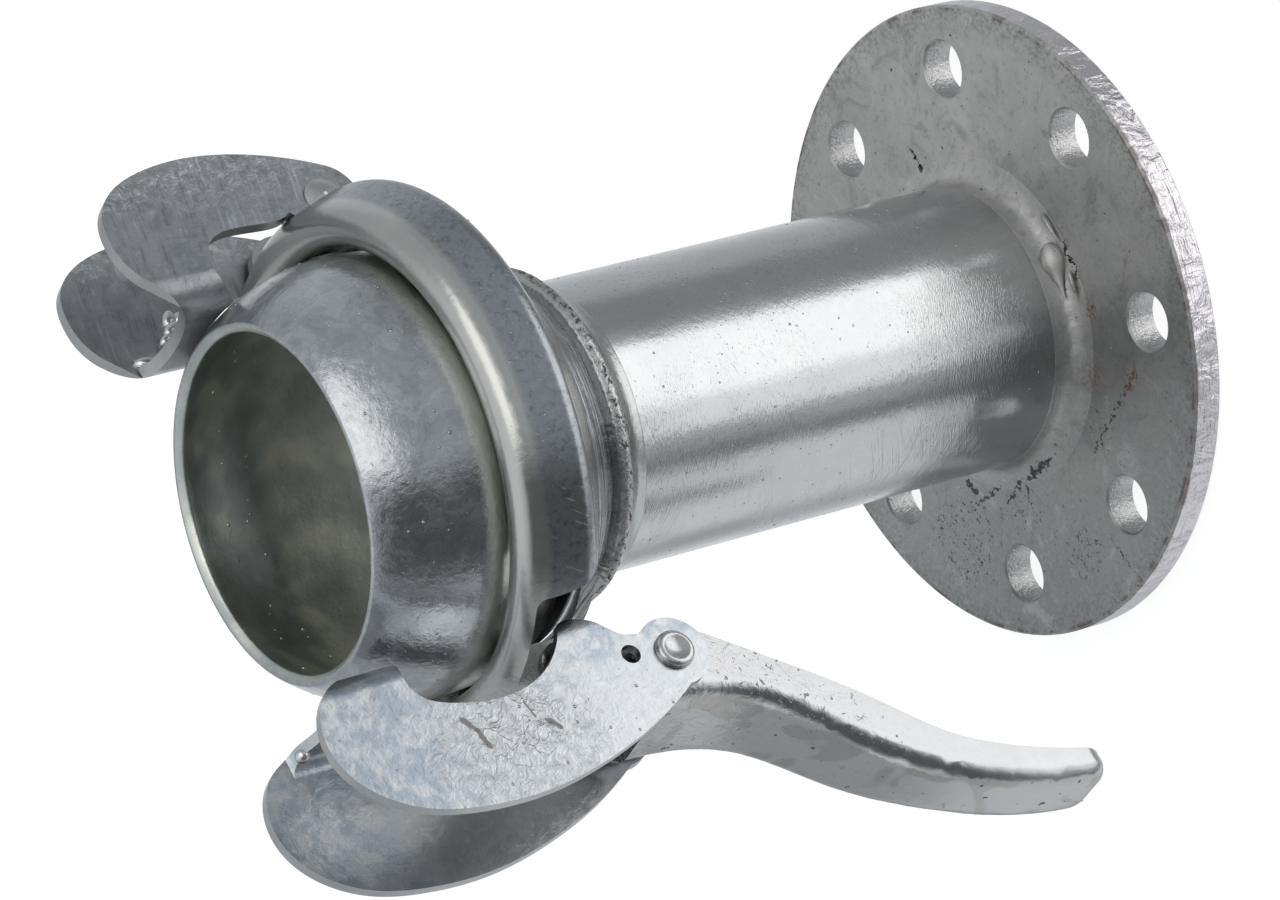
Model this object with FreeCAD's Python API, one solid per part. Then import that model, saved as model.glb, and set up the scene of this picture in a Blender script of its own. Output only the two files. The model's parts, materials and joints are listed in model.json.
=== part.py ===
"""Flange coupling: the ball half of a lever-ring pipe coupling, welded to a pipe stub with a flange.

A plate flange is slipped over one end of a short pipe and welded inside and outside.
A deep-drawn ball end is slipped over the other end and closed with a fat weld bead.
A pressed locking ring sits behind the ball and turns freely round it.  The ring has two
pairs of ears.  One pair carries a catch hook, the other carries a long lever, and a second
hook swings on the lever, behind the ring's pivot, so that throwing the lever draws both
hooks back.

The model stands on its flange: origin at the centre of the flange's mating face, +Z along
the pipe towards the ball, +X towards the lever.  Side outlines are drawn in the plane
Y = 0 as (out, up): out is the distance from the pipe's axis, up is the height.
All sizes are in millimetres.
"""
import FreeCAD, Part
import math
import os
from FreeCAD import Vector

# Flange, to the usual drilling for this pipe size
flange_diameter = 200.0
flange_thickness = 10.0
bolt_circle_diameter = 160.0
bolt_hole_diameter = 18.0
bolt_hole_count = 8
bolt_start_angle = 10.5       # first hole, measured from the lever's side
flange_edge_chamfer = 0.8
hole_edge_chamfer = 0.6

# Pipe stub
pipe_diameter = 88.9
pipe_wall = 3.2
pipe_recess = 4.0             # pipe's end, behind the mating face
pipe_slip = 0.4               # radial gap between the pipe and the flange's bore
stub_length = 180.0           # mating face to the end of the ball's neck
neck_overlap = 16.0           # how far the pipe reaches into the neck

# Welds
flange_weld_leg = 8.5
flange_weld_hollow = 1.6      # how far the fillet's face is drawn in
bore_weld_stand = 0.5         # inner weld, behind the mating face
neck_weld_rise = 3.2          # bead above the neck
neck_weld_lap = 6.0           # bead over the neck's end
neck_weld_run = 8.4           # bead along the pipe

# Ball end, a drawn shell
ball_sheet = 4.0
ball_diameter = 131.5
neck_slip = 0.3               # radial gap between the pipe and the neck
neck_land = 6.0               # straight part of the neck
ball_rear_length = 50.0       # neck land to the widest line
ball_front_length = 36.5      # widest line to the mouth
ball_front_curve = 58.0       # radius of the profile in front of the widest line
mouth_edge_round = 1.2

# Locking ring, a pressed sheet ring: a cone, a knee, a band and a nose that curls back in
ring_sheet = 4.0
ring_seat_gap = 0.3
ring_seat_back = 35.5         # ball's widest line back to the ring's rear edge
ring_cone_angle = 37.0        # cone, measured from level
ring_knee_out = 19.1          # outside of the knee, beyond the ball's widest line
ring_knee_bend = 5.0          # outside bend radii
ring_nose_bend = 7.0
ring_nose_front = 2.6         # widest line forward to the ring's front
ring_mouth_gap = 1.4          # nose's innermost line, outside the ball
ring_nose_end = 168.0         # where the nose's outside ends, as an angle about its centre

# Ears and pivots on the ring
pivot_in = 2.9                # knee's outside in to the pivots
pivot_back = 15.5             # ball's widest line back to the pivots
ear_sheet = 4.0
lever_ear_gap = 16.0          # between the two ears that carry the lever
lever_ear_radius = 12.2
catch_ear_gap = 24.0          # between the two ears that carry the catch hook
catch_ear_radius = 10.4
ear_root_in = 13.0            # pivots in to where the ears spring from the ring
ear_root_half = 10.0
window_gap = 0.75             # windows beside the ears, their inner edge outside the ball
window_back = 1.5             # front of the windows, behind the widest line
lever_window_half = 37.0
catch_window_half = 26.8
relief_front_half = 41.0      # beside the lever, the windows widen over the ring's band
relief_rear_half = 50.0
relief_length = 18.0          # from the windows' front to where the band meets the cone
relief_sag = 1.3              # how far the relief's edge is hollowed
relief_corner = 4.0

# Pins
pin_diameter = 9.0
pin_running = 0.08            # radial running clearance
pin_fixed = 0.02              # radial fit in the ears
pin_head_diameter = 12.0
pin_head_height = 2.2
pin_head_gap = 0.15           # under each head
lever_pin_head_height = 1.9   # it has to clear the hook's cheek
pin_head_edge = 0.7           # straight part of the head's side
pin_dish_diameter = 8.2
pin_dish_depth = 1.1

# Lever
lever_sheet = 3.0
lever_side_gap = 4.2          # between an ear and a cheek
lever_bend = 5.5              # outside radius of the bends
lever_pivot_radius = 9.0
lever_shoulder_turn = -20.0   # where the outline leaves the ring pivot's round, from level
lever_reach_out = 6.4         # ring pivot to hook pivot
lever_reach_back = 29.7
lever_web_front = 6.0         # web starts this far in front of the hook pivot
lever_length = 128.0          # hook pivot to the handle's end
lever_open_in = 10.2          # hook pivot in to the cheeks' open edge
lever_web_out = 12.0          # hook pivot out to the web
handle_reach = 70.2           # hook pivot out to the web at the handle's end
handle_end_depth = 8.4
handle_half_width = 12.8
handle_end_half_width = 12.0
handle_end_round = 7.0        # corners of the handle's end
handle_edge_round = 3.0       # where the cheeks' open edges meet the end
handle_taper_start = 8.0      # behind the hook pivot
handle_taper_end = 80.0

# Lever hook
lever_hook_sheet = 3.4
lever_hook_gap = 2.4          # between the lever's cheek and the hook's cheek
lever_hook_end_radius = 11.0
lever_hook_heel_turn = 137.0  # where the bump leaves the round end, from level
lever_hook_back = 29.9        # hook pivot out to the hook's back
lever_hook_nose = 16.7        # nose's front, beyond the web's front corners
lever_hook_bump_front = 30.8  # hook pivot to where the bump gives way to the mouth
lever_hook_mouth_depth = 21.3
lever_hook_web_in = 22.0      # hook pivot in to the web's inner face
lever_hook_web_back = 82.2    # web's rear edge in front of the hook pivot
lever_hook_web_length = 11.0  # along the pipe, at the middle of the web
lever_hook_web_scoop = 9.5    # depth of the round scoop in the web's front edge
lever_hook_bend = 8.5         # outside radius of the bends between web and cheeks
safety_hole_diameter = 6.0
safety_hole_in = 2.6          # from the hook pivot towards the pipe
safety_hole_front = 13.6

# Catch hook
catch_hook_sheet = 4.2
catch_hook_gap = 2.4          # between an ear and a cheek
catch_hook_end_radius = 12.0
catch_hook_heel_turn = 150.0  # where the mouth leaves the round end, from level
catch_hook_toe_turn = -30.0   # where the back leaves it
catch_hook_back = 22.8        # ring pivot out to the hook's back
catch_hook_nose = 15.2        # nose's front, beyond the web's front corners
catch_hook_heel_front = 13.0  # ring pivot to the foot of the mouth
catch_hook_mouth_depth = 22.35
catch_hook_web_in = 24.7      # ring pivot in to the web's inner face
catch_hook_web_front = 24.0   # web's rear corners in front of the ball's widest line
catch_hook_web_length = 14.3
catch_hook_web_scoop = 4.5
catch_hook_bend = 10.0
catch_hook_seat_gap = 0.3     # web to ball

# Places that follow from the sizes
pipe_radius = pipe_diameter / 2
neck_radius = pipe_radius + neck_slip + ball_sheet
ball_radius = ball_diameter / 2
neck_end_up = stub_length
ball_wide_up = neck_end_up + neck_land + ball_rear_length
knee_out = ball_radius + ring_knee_out
pivot_out = knee_out - pivot_in
pivot_up = ball_wide_up - pivot_back
hook_pivot_out = pivot_out + lever_reach_out
hook_pivot_up = pivot_up - lever_reach_back
lever_ear_half = lever_ear_gap / 2 + ear_sheet
catch_ear_half = catch_ear_gap / 2 + ear_sheet
lever_half = lever_ear_half + lever_side_gap + lever_sheet
lever_hook_half = lever_half + lever_hook_gap + lever_hook_sheet
catch_hook_half = catch_ear_half + catch_hook_gap + catch_hook_sheet
web_corner_share = 2 / 3      # of the scoop, where a cheek's outline meets the web
far = 4 * flange_diameter

# The ball's profile behind its widest line is one arc that meets the neck
neck_step = ball_radius - neck_radius
ball_rear_curve = (ball_rear_length ** 2 + neck_step ** 2) / (2 * neck_step)


def at(out, up, side=0.0):
    """A point from its distance out, its height and its place across the object."""
    return Vector(out, side, up)


def ball_out(up):
    """Outside radius of the ball at a height."""
    curve = ball_front_curve if up > ball_wide_up else ball_rear_curve
    drop = abs(up - ball_wide_up)
    return ball_radius - curve + math.sqrt(curve ** 2 - drop ** 2)


def face_of(edges):
    """A flat face from edges that follow one another."""
    return Part.Face(Part.Wire(edges))


def polygon_face(points):
    return Part.Face(Part.makePolygon(points + points[:1]))


def turned(face):
    """A round solid from a face in the plane Y = 0."""
    return face.revolve(Vector(0, 0, 0), Vector(0, 0, 1), 360)


def across(face, low, high):
    """A plate from an outline in the plane Y = 0, between two places across the object."""
    plate = face.extrude(Vector(0, high - low, 0))
    plate.translate(Vector(0, low, 0))
    return plate


def line(start, end):
    return Part.LineSegment(start, end).toShape()


def arc(start, middle, end):
    return Part.Arc(start, middle, end).toShape()


def curve(points):
    """A smooth curve through a few points."""
    spline = Part.BSplineCurve()
    spline.interpolate(points)
    return spline.toShape()


def around(centre, radius, degrees):
    """The point at an angle about a pivot, in the plane Y = 0."""
    turn = math.radians(degrees)
    return centre + at(radius * math.cos(turn), radius * math.sin(turn))


def round_end(centre, radius, first, last):
    """An arc about a pivot, from one angle to another, in the plane Y = 0."""
    return arc(around(centre, radius, first), around(centre, radius, (first + last) / 2),
               around(centre, radius, last))


def spread(start, reach, rise, shares):
    """Points from a start, each a share of a reach out and a share of a rise up."""
    return [start + at(reach * out, rise * up) for out, up in shares]


def rims_of(shape, radius):
    """The level round edges of a turned shape that have a radius."""
    return [edge for edge in shape.Edges if edge.Closed and edge.BoundBox.ZLength < 0.01
            and abs(edge.BoundBox.XMax - radius) < 0.01]


def cross_pin(centre, radius, low, high):
    """A round bar across the object, along Y."""
    foot = Vector(centre.x, low, centre.z)
    return Part.makeCylinder(radius, high - low, foot, Vector(0, 1, 0))


def mirror_out(shape):
    """The same shape on the other side of the pipe."""
    return shape.mirror(Vector(0, 0, 0), Vector(1, 0, 0))


def make_flange():
    plate = Part.makeCylinder(flange_diameter / 2, flange_thickness)
    plate = plate.cut(Part.makeCylinder(pipe_radius + pipe_slip, flange_thickness))
    plate = plate.makeChamfer(flange_edge_chamfer, rims_of(plate, flange_diameter / 2))
    for index in range(bolt_hole_count):
        angle = math.radians(bolt_start_angle + index * 360 / bolt_hole_count)
        reach = bolt_circle_diameter / 2
        foot = Vector(reach * math.cos(angle), reach * math.sin(angle), 0)
        hole_radius = bolt_hole_diameter / 2
        hole = Part.makeCylinder(hole_radius, flange_thickness, foot)
        top = foot + Vector(0, 0, flange_thickness - hole_edge_chamfer)
        mouth = Part.makeCone(hole_radius, hole_radius + hole_edge_chamfer, hole_edge_chamfer, top)
        plate = plate.cut(hole).cut(mouth)
    return plate


def make_pipe():
    length = neck_end_up + neck_overlap - pipe_recess
    foot = Vector(0, 0, pipe_recess)
    outer = Part.makeCylinder(pipe_radius, length, foot)
    return outer.cut(Part.makeCylinder(pipe_radius - pipe_wall, length, foot))


def make_flange_weld():
    root = at(pipe_radius, flange_thickness)
    toe_pipe = at(pipe_radius, flange_thickness + flange_weld_leg)
    toe_flange = at(pipe_radius + flange_weld_leg, flange_thickness)
    inward = flange_weld_hollow / math.sqrt(2)
    middle = (toe_pipe + toe_flange) * 0.5 - at(inward, inward)
    return turned(face_of([line(root, toe_pipe), arc(toe_pipe, middle, toe_flange),
                           line(toe_flange, root)]))


def make_bore_weld():
    bore = pipe_radius + pipe_slip
    return turned(polygon_face([at(pipe_radius - pipe_wall, pipe_recess),
                                at(bore, pipe_recess), at(bore, bore_weld_stand)]))


def make_neck_weld():
    root = at(pipe_radius, neck_end_up)
    toe_pipe = at(pipe_radius, neck_end_up - neck_weld_run)
    crown = at(neck_radius + neck_weld_rise, neck_end_up + neck_weld_lap / 6)
    toe_neck = at(neck_radius, neck_end_up + neck_weld_lap)
    edge = at(neck_radius, neck_end_up)
    hollow = (toe_pipe + crown) * 0.5 + at(-neck_weld_rise / 4, neck_weld_rise / 4)
    shoulder = (crown + toe_neck) * 0.5 + at(neck_weld_rise / 3, neck_weld_rise / 4)
    return turned(face_of([line(root, toe_pipe), arc(toe_pipe, hollow, crown),
                           arc(crown, shoulder, toe_neck), line(toe_neck, edge),
                           line(edge, root)]))


def make_ball_end():
    """Neck, ball and mouth, drawn from one sheet."""
    def side(inset):
        rear = ball_rear_curve - inset
        front = ball_front_curve - inset
        rear_axis = ball_radius - ball_rear_curve
        front_axis = ball_radius - ball_front_curve
        neck = neck_radius - inset
        neck_turn = math.acos((neck - rear_axis) / rear)
        mouth_turn = math.asin(ball_front_length / ball_front_curve)

        def on_rear(turn):
            return at(rear_axis + rear * math.cos(turn), ball_wide_up - rear * math.sin(turn))

        def on_front(turn):
            return at(front_axis + front * math.cos(turn), ball_wide_up + front * math.sin(turn))
        wide = at(ball_radius - inset, ball_wide_up)
        return [line(at(neck, neck_end_up), on_rear(neck_turn)),
                arc(on_rear(neck_turn), on_rear(neck_turn / 2), wide),
                arc(wide, on_front(mouth_turn / 2), on_front(mouth_turn))], on_front(mouth_turn)
    outside, outer_mouth = side(0)
    inside, inner_mouth = side(ball_sheet)
    ends = [line(at(neck_radius, neck_end_up), at(neck_radius - ball_sheet, neck_end_up)),
            line(outer_mouth, inner_mouth)]
    shell = turned(Part.Face(Part.Wire(Part.__sortEdges__(outside + inside + ends))))
    rims = rims_of(shell, outer_mouth.x) + rims_of(shell, inner_mouth.x)
    return shell.makeFillet(mouth_edge_round, rims)


def ear_plate(ear_radius):
    """One ear, seen from the side: a round nose about the pivot and a root in the ring."""
    pivot = at(pivot_out, pivot_up)
    root_low = pivot + at(-ear_root_in, -ear_root_half)
    root_high = pivot + at(-ear_root_in, ear_root_half)
    low = pivot + at(0, -ear_radius)
    high = pivot + at(0, ear_radius)
    nose = pivot + at(ear_radius, 0)
    return face_of([line(root_low, low), arc(low, nose, high), line(high, root_high),
                    line(root_high, root_low)])


def ring_section():
    """The pressed sheet, in section.  Its outside is followed from the rear edge to the mouth."""
    cone = math.radians(ring_cone_angle)
    rear_up = ball_wide_up - ring_seat_back
    # The sheet's inner corner is what sits on the ball, one sheet in from the rear edge
    corner_up = rear_up + ring_sheet * math.cos(cone)
    rear = at(ball_out(corner_up) + ring_seat_gap + ring_sheet * math.sin(cone), rear_up)
    knee_centre_out = knee_out - ring_knee_bend
    cone_end_out = knee_centre_out + ring_knee_bend * math.sin(cone)
    cone_end_up = rear_up + (cone_end_out - rear.x) * math.tan(cone)
    knee = at(knee_centre_out, cone_end_up + ring_knee_bend * math.cos(cone))
    nose = at(ball_radius + ring_mouth_gap + ring_nose_bend,
              ball_wide_up + ring_nose_front - ring_nose_bend)
    way = nose - knee
    band = math.atan2(way.z, way.x) + math.asin((ring_knee_bend - ring_nose_bend) / way.Length)
    mouth = math.radians(ring_nose_end) + math.pi / 2

    def beside(centre, radius, heading):
        """The point of a bend where the sheet runs at a heading."""
        return centre + at(math.sin(heading), -math.cos(heading)) * radius

    def side(inset):
        start = beside(rear, -inset, cone)
        edges = []
        last = start
        for centre, bend, first, second in ((knee, ring_knee_bend, cone, band),
                                            (nose, ring_nose_bend, band, mouth)):
            meet = beside(centre, bend - inset, first)
            edges.append(line(last, meet))
            last = beside(centre, bend - inset, second)
            edges.append(arc(meet, beside(centre, bend - inset, (first + second) / 2), last))
        return edges, start, last
    outside, outer_start, outer_end = side(0)
    inside, inner_start, inner_end = side(ring_sheet)
    edges = outside + inside + [line(outer_start, inner_start), line(outer_end, inner_end)]
    return Part.Face(Part.Wire(Part.__sortEdges__(edges)))


def window_block(side, ear_half, window_half):
    """What a window beside an ear takes out of the ring, on the lever's side of the pipe."""
    low, high = sorted((side * ear_half, side * window_half))
    rear = ball_wide_up - ring_seat_back - ring_sheet
    length = ring_seat_back + ring_sheet - window_back
    return Part.makeBox(far, high - low, length, at(ball_radius + window_gap, rear, low))


def relief_block(side):
    """What the relief beside the lever takes out of the ring's band."""
    front = ball_wide_up - window_back
    rear = front - relief_length
    middle = (relief_front_half + relief_rear_half) / 2 - relief_sag
    inner_front, inner_rear = (at(0, up, side * lever_ear_half) for up in (front, rear))
    corner = at(0, front, side * relief_front_half)
    tip = at(0, rear, side * relief_rear_half)
    outline = [line(inner_rear, inner_front), line(inner_front, corner),
               arc(corner, at(0, (front + rear) / 2, side * middle), tip), line(tip, inner_rear)]
    block = face_of(outline).extrude(Vector(far, 0, 0))
    corners = [edge for edge in block.Edges if edge.BoundBox.XLength > far / 2
               and abs(edge.BoundBox.Center.y - corner.y) < 0.01]
    block = block.makeFillet(relief_corner, corners)
    return block.cut(Part.makeCylinder(ball_radius + window_gap, far))


def make_locking_ring():
    ring = turned(ring_section())
    for side in (-1, 1):
        ring = ring.cut(window_block(side, lever_ear_half, lever_window_half))
        ring = ring.cut(relief_block(side))
        ring = ring.cut(mirror_out(window_block(side, catch_ear_half, catch_window_half)))
        low, high = sorted((side * lever_ear_gap / 2, side * lever_ear_half))
        ring = ring.fuse(across(ear_plate(lever_ear_radius), low, high))
        low, high = sorted((side * catch_ear_gap / 2, side * catch_ear_half))
        ring = ring.fuse(mirror_out(across(ear_plate(catch_ear_radius), low, high)))
    bore = cross_pin(at(pivot_out, pivot_up), pin_diameter / 2 + pin_fixed, -far, far)
    return ring.cut(bore).cut(mirror_out(bore)).removeSplitter()


def channel(outline, half, sheet, web_face, bend, web_low, web_high, scoop):
    """A folded hook: two cheeks cut to an outline, and a web that joins them near the pipe.

    web_face is the web's distance out.  The web runs from web_low to web_high at its middle,
    and its front edge rises by the scoop towards the cheeks.
    """
    block = across(outline, -half, half)
    inner_half = half - sheet
    stock = Part.makeBox(far, 2 * half, far, at(web_face, 0, -half))
    hollow = Part.makeBox(far, 2 * inner_half, far, at(web_face + sheet, 0, -inner_half))

    def folds(shape, out):
        return [edge for edge in shape.Edges
                if edge.BoundBox.ZLength > far / 2 and abs(edge.BoundBox.XMin - out) < 0.01]
    stock = stock.makeFillet(bend, folds(stock, web_face))
    hollow = hollow.makeFillet(bend - sheet, folds(hollow, web_face + sheet))
    # Behind the web, and in front of its scooped edge, only the cheeks are left
    behind = Part.makeBox(far, 2 * inner_half, web_low, at(0, 0, -inner_half))
    left, right = (at(0, web_high + scoop, side) for side in (-inner_half, inner_half))
    far_left, far_right = (at(0, far, side) for side in (-inner_half, inner_half))
    edge = [arc(left, at(0, web_high), right), line(right, far_right), line(far_right, far_left),
            line(far_left, left)]
    in_front = face_of(edge).extrude(Vector(far, 0, 0))
    return block.common(stock.cut(hollow)).cut(behind).cut(in_front)


def make_lever_hook():
    pivot = at(hook_pivot_out, hook_pivot_up)
    web_face = pivot.x - lever_hook_web_in
    web_low = pivot.z + lever_hook_web_back
    web_high = web_low + lever_hook_web_length
    web_corner = at(web_face, web_high + lever_hook_web_scoop * web_corner_share)
    web_rear = at(web_face, web_low)
    length = web_corner.z + lever_hook_nose - pivot.z
    outer = [around(pivot, lever_hook_end_radius, 0)]
    outer += spread(pivot, lever_hook_back, length,
                    [(0.63, 0.13), (0.855, 0.3), (1, 0.51), (0.975, 0.69), (0.823, 0.843),
                     (0.57, 0.938), (0.235, 0.993), (-0.135, 1), (-0.43, 0.969), (-0.635, 0.907)])
    mouth_length = lever_hook_web_back - lever_hook_bump_front
    mouth = spread(web_rear, lever_hook_mouth_depth, mouth_length,
                   [(0, 0), (0.215, 0.037), (0.455, 0.045), (0.67, 0.004), (0.89, -0.165),
                    (1, -0.44), (0.885, -0.71), (0.58, -0.895), (0.205, -1)])
    bump = mouth[-1:] + spread(pivot, lever_hook_web_in, lever_hook_bump_front,
                               [(-0.864, 0.86), (-0.736, 0.662), (-0.473, 0.474)])
    bump.append(around(pivot, lever_hook_end_radius, lever_hook_heel_turn))
    outline = face_of([curve(outer), line(outer[-1], web_corner), line(web_corner, web_rear),
                       curve(mouth), curve(bump),
                       round_end(pivot, lever_hook_end_radius, lever_hook_heel_turn, 360)])
    hook = channel(outline, lever_hook_half, lever_hook_sheet, web_face, lever_hook_bend,
                   web_low, web_high, lever_hook_web_scoop)
    bore = cross_pin(pivot, pin_diameter / 2 + pin_running, -far, far)
    safety = cross_pin(pivot + at(-safety_hole_in, safety_hole_front),
                       safety_hole_diameter / 2, -far, far)
    return hook.cut(bore).cut(safety)


def make_catch_hook():
    """Drawn on the lever's side and mirrored to the other."""
    pivot = at(pivot_out, pivot_up)
    web_face = pivot.x - catch_hook_web_in
    web_low = ball_wide_up + catch_hook_web_front
    web_high = web_low + catch_hook_web_length
    web_corner = at(web_face, web_high + catch_hook_web_scoop * web_corner_share)
    web_rear = at(web_face, web_low)
    length = web_corner.z + catch_hook_nose - pivot.z
    outer = [around(pivot, catch_hook_end_radius, catch_hook_toe_turn)]
    outer += spread(pivot, catch_hook_back, length,
                    [(0.675, 0.061), (0.917, 0.306), (1, 0.535), (0.94, 0.722), (0.763, 0.875),
                     (0.456, 0.972), (0.088, 1), (-0.263, 0.989), (-0.57, 0.942)])
    mouth_length = web_low - pivot.z - catch_hook_heel_front
    mouth = spread(web_rear, catch_hook_mouth_depth, mouth_length,
                   [(0, 0), (0.185, 0.136), (0.405, 0.2), (0.653, 0.181), (0.838, 0.075),
                    (0.937, -0.181), (1, -1)])
    heel = around(pivot, catch_hook_end_radius, catch_hook_heel_turn)
    outline = face_of([curve(outer), line(outer[-1], web_corner), line(web_corner, web_rear),
                       curve(mouth), line(mouth[-1], heel),
                       round_end(pivot, catch_hook_end_radius, catch_hook_heel_turn,
                                 360 + catch_hook_toe_turn)])
    hook = channel(outline, catch_hook_half, catch_hook_sheet, web_face, catch_hook_bend,
                   web_low, web_high, catch_hook_web_scoop)
    # The web's rear edge is a saddle that lies on the ball
    hook = hook.cut(ball_room(catch_hook_seat_gap))
    bore = cross_pin(pivot, pin_diameter / 2 + pin_running, -far, far)
    return mirror_out(hook.cut(bore))


def ball_room(gap):
    """The space in front of the ball's widest line that a piece has to leave, as a solid."""
    wide = at(ball_radius + gap, ball_wide_up)
    curve_centre = ball_radius - ball_front_curve
    reach = ball_front_curve + gap

    def on_ball(turn):
        return at(curve_centre + reach * math.cos(turn), ball_wide_up + reach * math.sin(turn))
    end = math.asin((ball_front_length + gap) / reach)
    top = at(0, on_ball(end).z)
    foot = at(0, ball_wide_up)
    return turned(face_of([line(foot, wide), arc(wide, on_ball(end / 2), on_ball(end)),
                           line(on_ball(end), top), line(top, foot)]))


def make_lever():
    ring_pivot = at(pivot_out, pivot_up)
    pivot = at(hook_pivot_out, hook_pivot_up)
    end_up = hook_pivot_up - lever_length
    # Open edge, from the ring's pivot down to the handle's end
    inner = spread(pivot, -lever_open_in, -lever_length, [(1, -0.016), (0.9, 0.078), (0.353, 0.152)])
    inner += spread(pivot, handle_reach - handle_end_depth, -lever_length,
                    [(0.155, 0.298), (0.424, 0.469), (0.704, 0.628), (0.908, 0.834), (1, 1)])
    # The web, back up to the hook's pivot
    outer = spread(pivot, handle_reach, -lever_length,
                   [(1, 1), (0.991, 0.93), (0.913, 0.738), (0.774, 0.564), (0.547, 0.383),
                    (0.283, 0.216)])
    outer += spread(pivot, lever_web_out, -lever_length, [(1.175, 0.105), (1.04, 0.034)])
    outer.append(pivot + at(lever_web_out, lever_web_front))
    head_low = around(ring_pivot, lever_pivot_radius, 180)
    shoulder = around(ring_pivot, lever_pivot_radius, lever_shoulder_turn)
    outline = face_of([line(head_low, inner[0]), curve(inner), line(inner[-1], outer[0]),
                       curve(outer), line(outer[-1], shoulder),
                       round_end(ring_pivot, lever_pivot_radius, lever_shoulder_turn, 180)])
    plan = [(lever_half, pivot_up + 2 * lever_pivot_radius),
            (lever_half, hook_pivot_up - handle_taper_start),
            (handle_half_width, hook_pivot_up - handle_taper_end),
            (handle_end_half_width, end_up)]

    def plan_solid(inset):
        right = [Vector(0, half - inset, up) for half, up in plan]
        left = [Vector(0, inset - half, up) for half, up in reversed(plan)]
        return polygon_face(right + left).extrude(Vector(far, 0, 0))
    blank = across(outline, -far, far)
    open_end = [edge for edge in blank.Edges
                if edge.BoundBox.YLength > far and on_spot(edge, inner[-1])]
    blank = blank.makeFillet(handle_edge_round, open_end)
    plan_block = plan_solid(0)
    end_corners = [edge for edge in plan_block.Edges
                   if edge.BoundBox.XLength > far / 2 and abs(edge.BoundBox.ZMax - end_up) < 0.01]
    plan_block = plan_block.makeFillet(handle_end_round, end_corners)
    body = blank.common(plan_block)
    folds = [edge for edge in body.Edges
             if edge.BoundBox.ZLength > lever_length / 3 and on_web(edge, outer)]
    body = body.makeFillet(lever_bend, folds)
    # The hollow is the same handle, moved in by the sheet and open towards the pipe
    inside_edge = offset_curve(outer, lever_sheet)
    hollow_outline = face_of([curve(inside_edge), line(inside_edge[-1], at(0, inside_edge[-1].z)),
                              line(at(0, inside_edge[-1].z), at(0, inside_edge[0].z)),
                              line(at(0, inside_edge[0].z), inside_edge[0])])
    hollow = across(hollow_outline, -far, far).common(plan_solid(lever_sheet))
    front_gap = Part.makeBox(far, 2 * (lever_half - lever_sheet), far,
                             at(0, hook_pivot_up + lever_web_front, lever_sheet - lever_half))
    body = body.cut(hollow).cut(front_gap)
    for centre in (ring_pivot, pivot):
        body = body.cut(cross_pin(centre, pin_diameter / 2 + pin_running, -far, far))
    return body


def on_spot(edge, spot):
    """True for an edge across the object that passes through a spot of the side outline."""
    return math.hypot(edge.BoundBox.Center.x - spot.x, edge.BoundBox.Center.z - spot.z) < 0.01


def on_web(edge, outer):
    """True for an edge that follows the web's outer curve."""
    middle = edge.valueAt((edge.FirstParameter + edge.LastParameter) / 2)
    path = curve([Vector(point) for point in outer])
    flat = Part.Vertex(Vector(middle.x, 0, middle.z))
    return path.distToShape(flat)[0] < 0.05


def offset_curve(points, inset):
    """The points of a curve, moved to the right of the way it runs."""
    spline = Part.BSplineCurve()
    spline.interpolate(points)
    moved = []
    for point in points:
        way = spline.tangent(spline.parameter(point))[0]
        moved.append(point + at(-way.z, way.x) * inset)
    return moved


def cap_arc(radius, foot, rise):
    """A round cap's arc, from its rim to the axis along Y.  A negative rise goes down the axis."""
    bow = (radius ** 2 + rise ** 2) / (2 * abs(rise))
    half = radius / 2
    lift = math.copysign(math.sqrt(bow ** 2 - half ** 2) - bow + abs(rise), rise)
    return arc(Vector(radius, foot, 0), Vector(half, foot + lift, 0), Vector(0, foot + rise, 0))


def make_pin(half_grip, head_height, dished_side):
    """A riveted pin along Y: a domed head on one side and a dished end on the other."""
    grip = half_grip + pin_head_gap
    shank = pin_diameter / 2
    head = pin_head_diameter / 2
    dish = pin_dish_diameter / 2
    dome_foot = -grip - pin_head_edge
    dome_top = -grip - head_height
    lip_foot = grip + pin_head_edge
    lip_top = grip + head_height
    bulge = math.sqrt(0.5)
    lip_middle = Vector(dish + (head - dish) * bulge, lip_foot + (lip_top - lip_foot) * bulge, 0)
    outline = [Vector(head, dome_foot, 0), Vector(head, -grip, 0), Vector(shank, -grip, 0),
               Vector(shank, grip, 0), Vector(head, grip, 0), Vector(head, lip_foot, 0)]
    edges = [line(start, end) for start, end in zip(outline, outline[1:])]
    edges.append(arc(outline[-1], lip_middle, Vector(dish, lip_top, 0)))
    edges.append(cap_arc(dish, lip_top, -pin_dish_depth))
    edges.append(line(Vector(0, lip_top - pin_dish_depth, 0), Vector(0, dome_top, 0)))
    edges.append(cap_arc(head, dome_foot, dome_top - dome_foot))
    half = Part.Face(Part.Wire(Part.__sortEdges__(edges)))
    pin = half.revolve(Vector(0, 0, 0), Vector(0, 1, 0), 360)
    if dished_side < 0:
        pin.rotate(Vector(0, 0, 0), Vector(1, 0, 0), 180)
    return pin


def placed_pin(centre, half_grip, head_height, dished_side):
    pin = make_pin(half_grip, head_height, dished_side)
    pin.translate(centre)
    return pin


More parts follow.
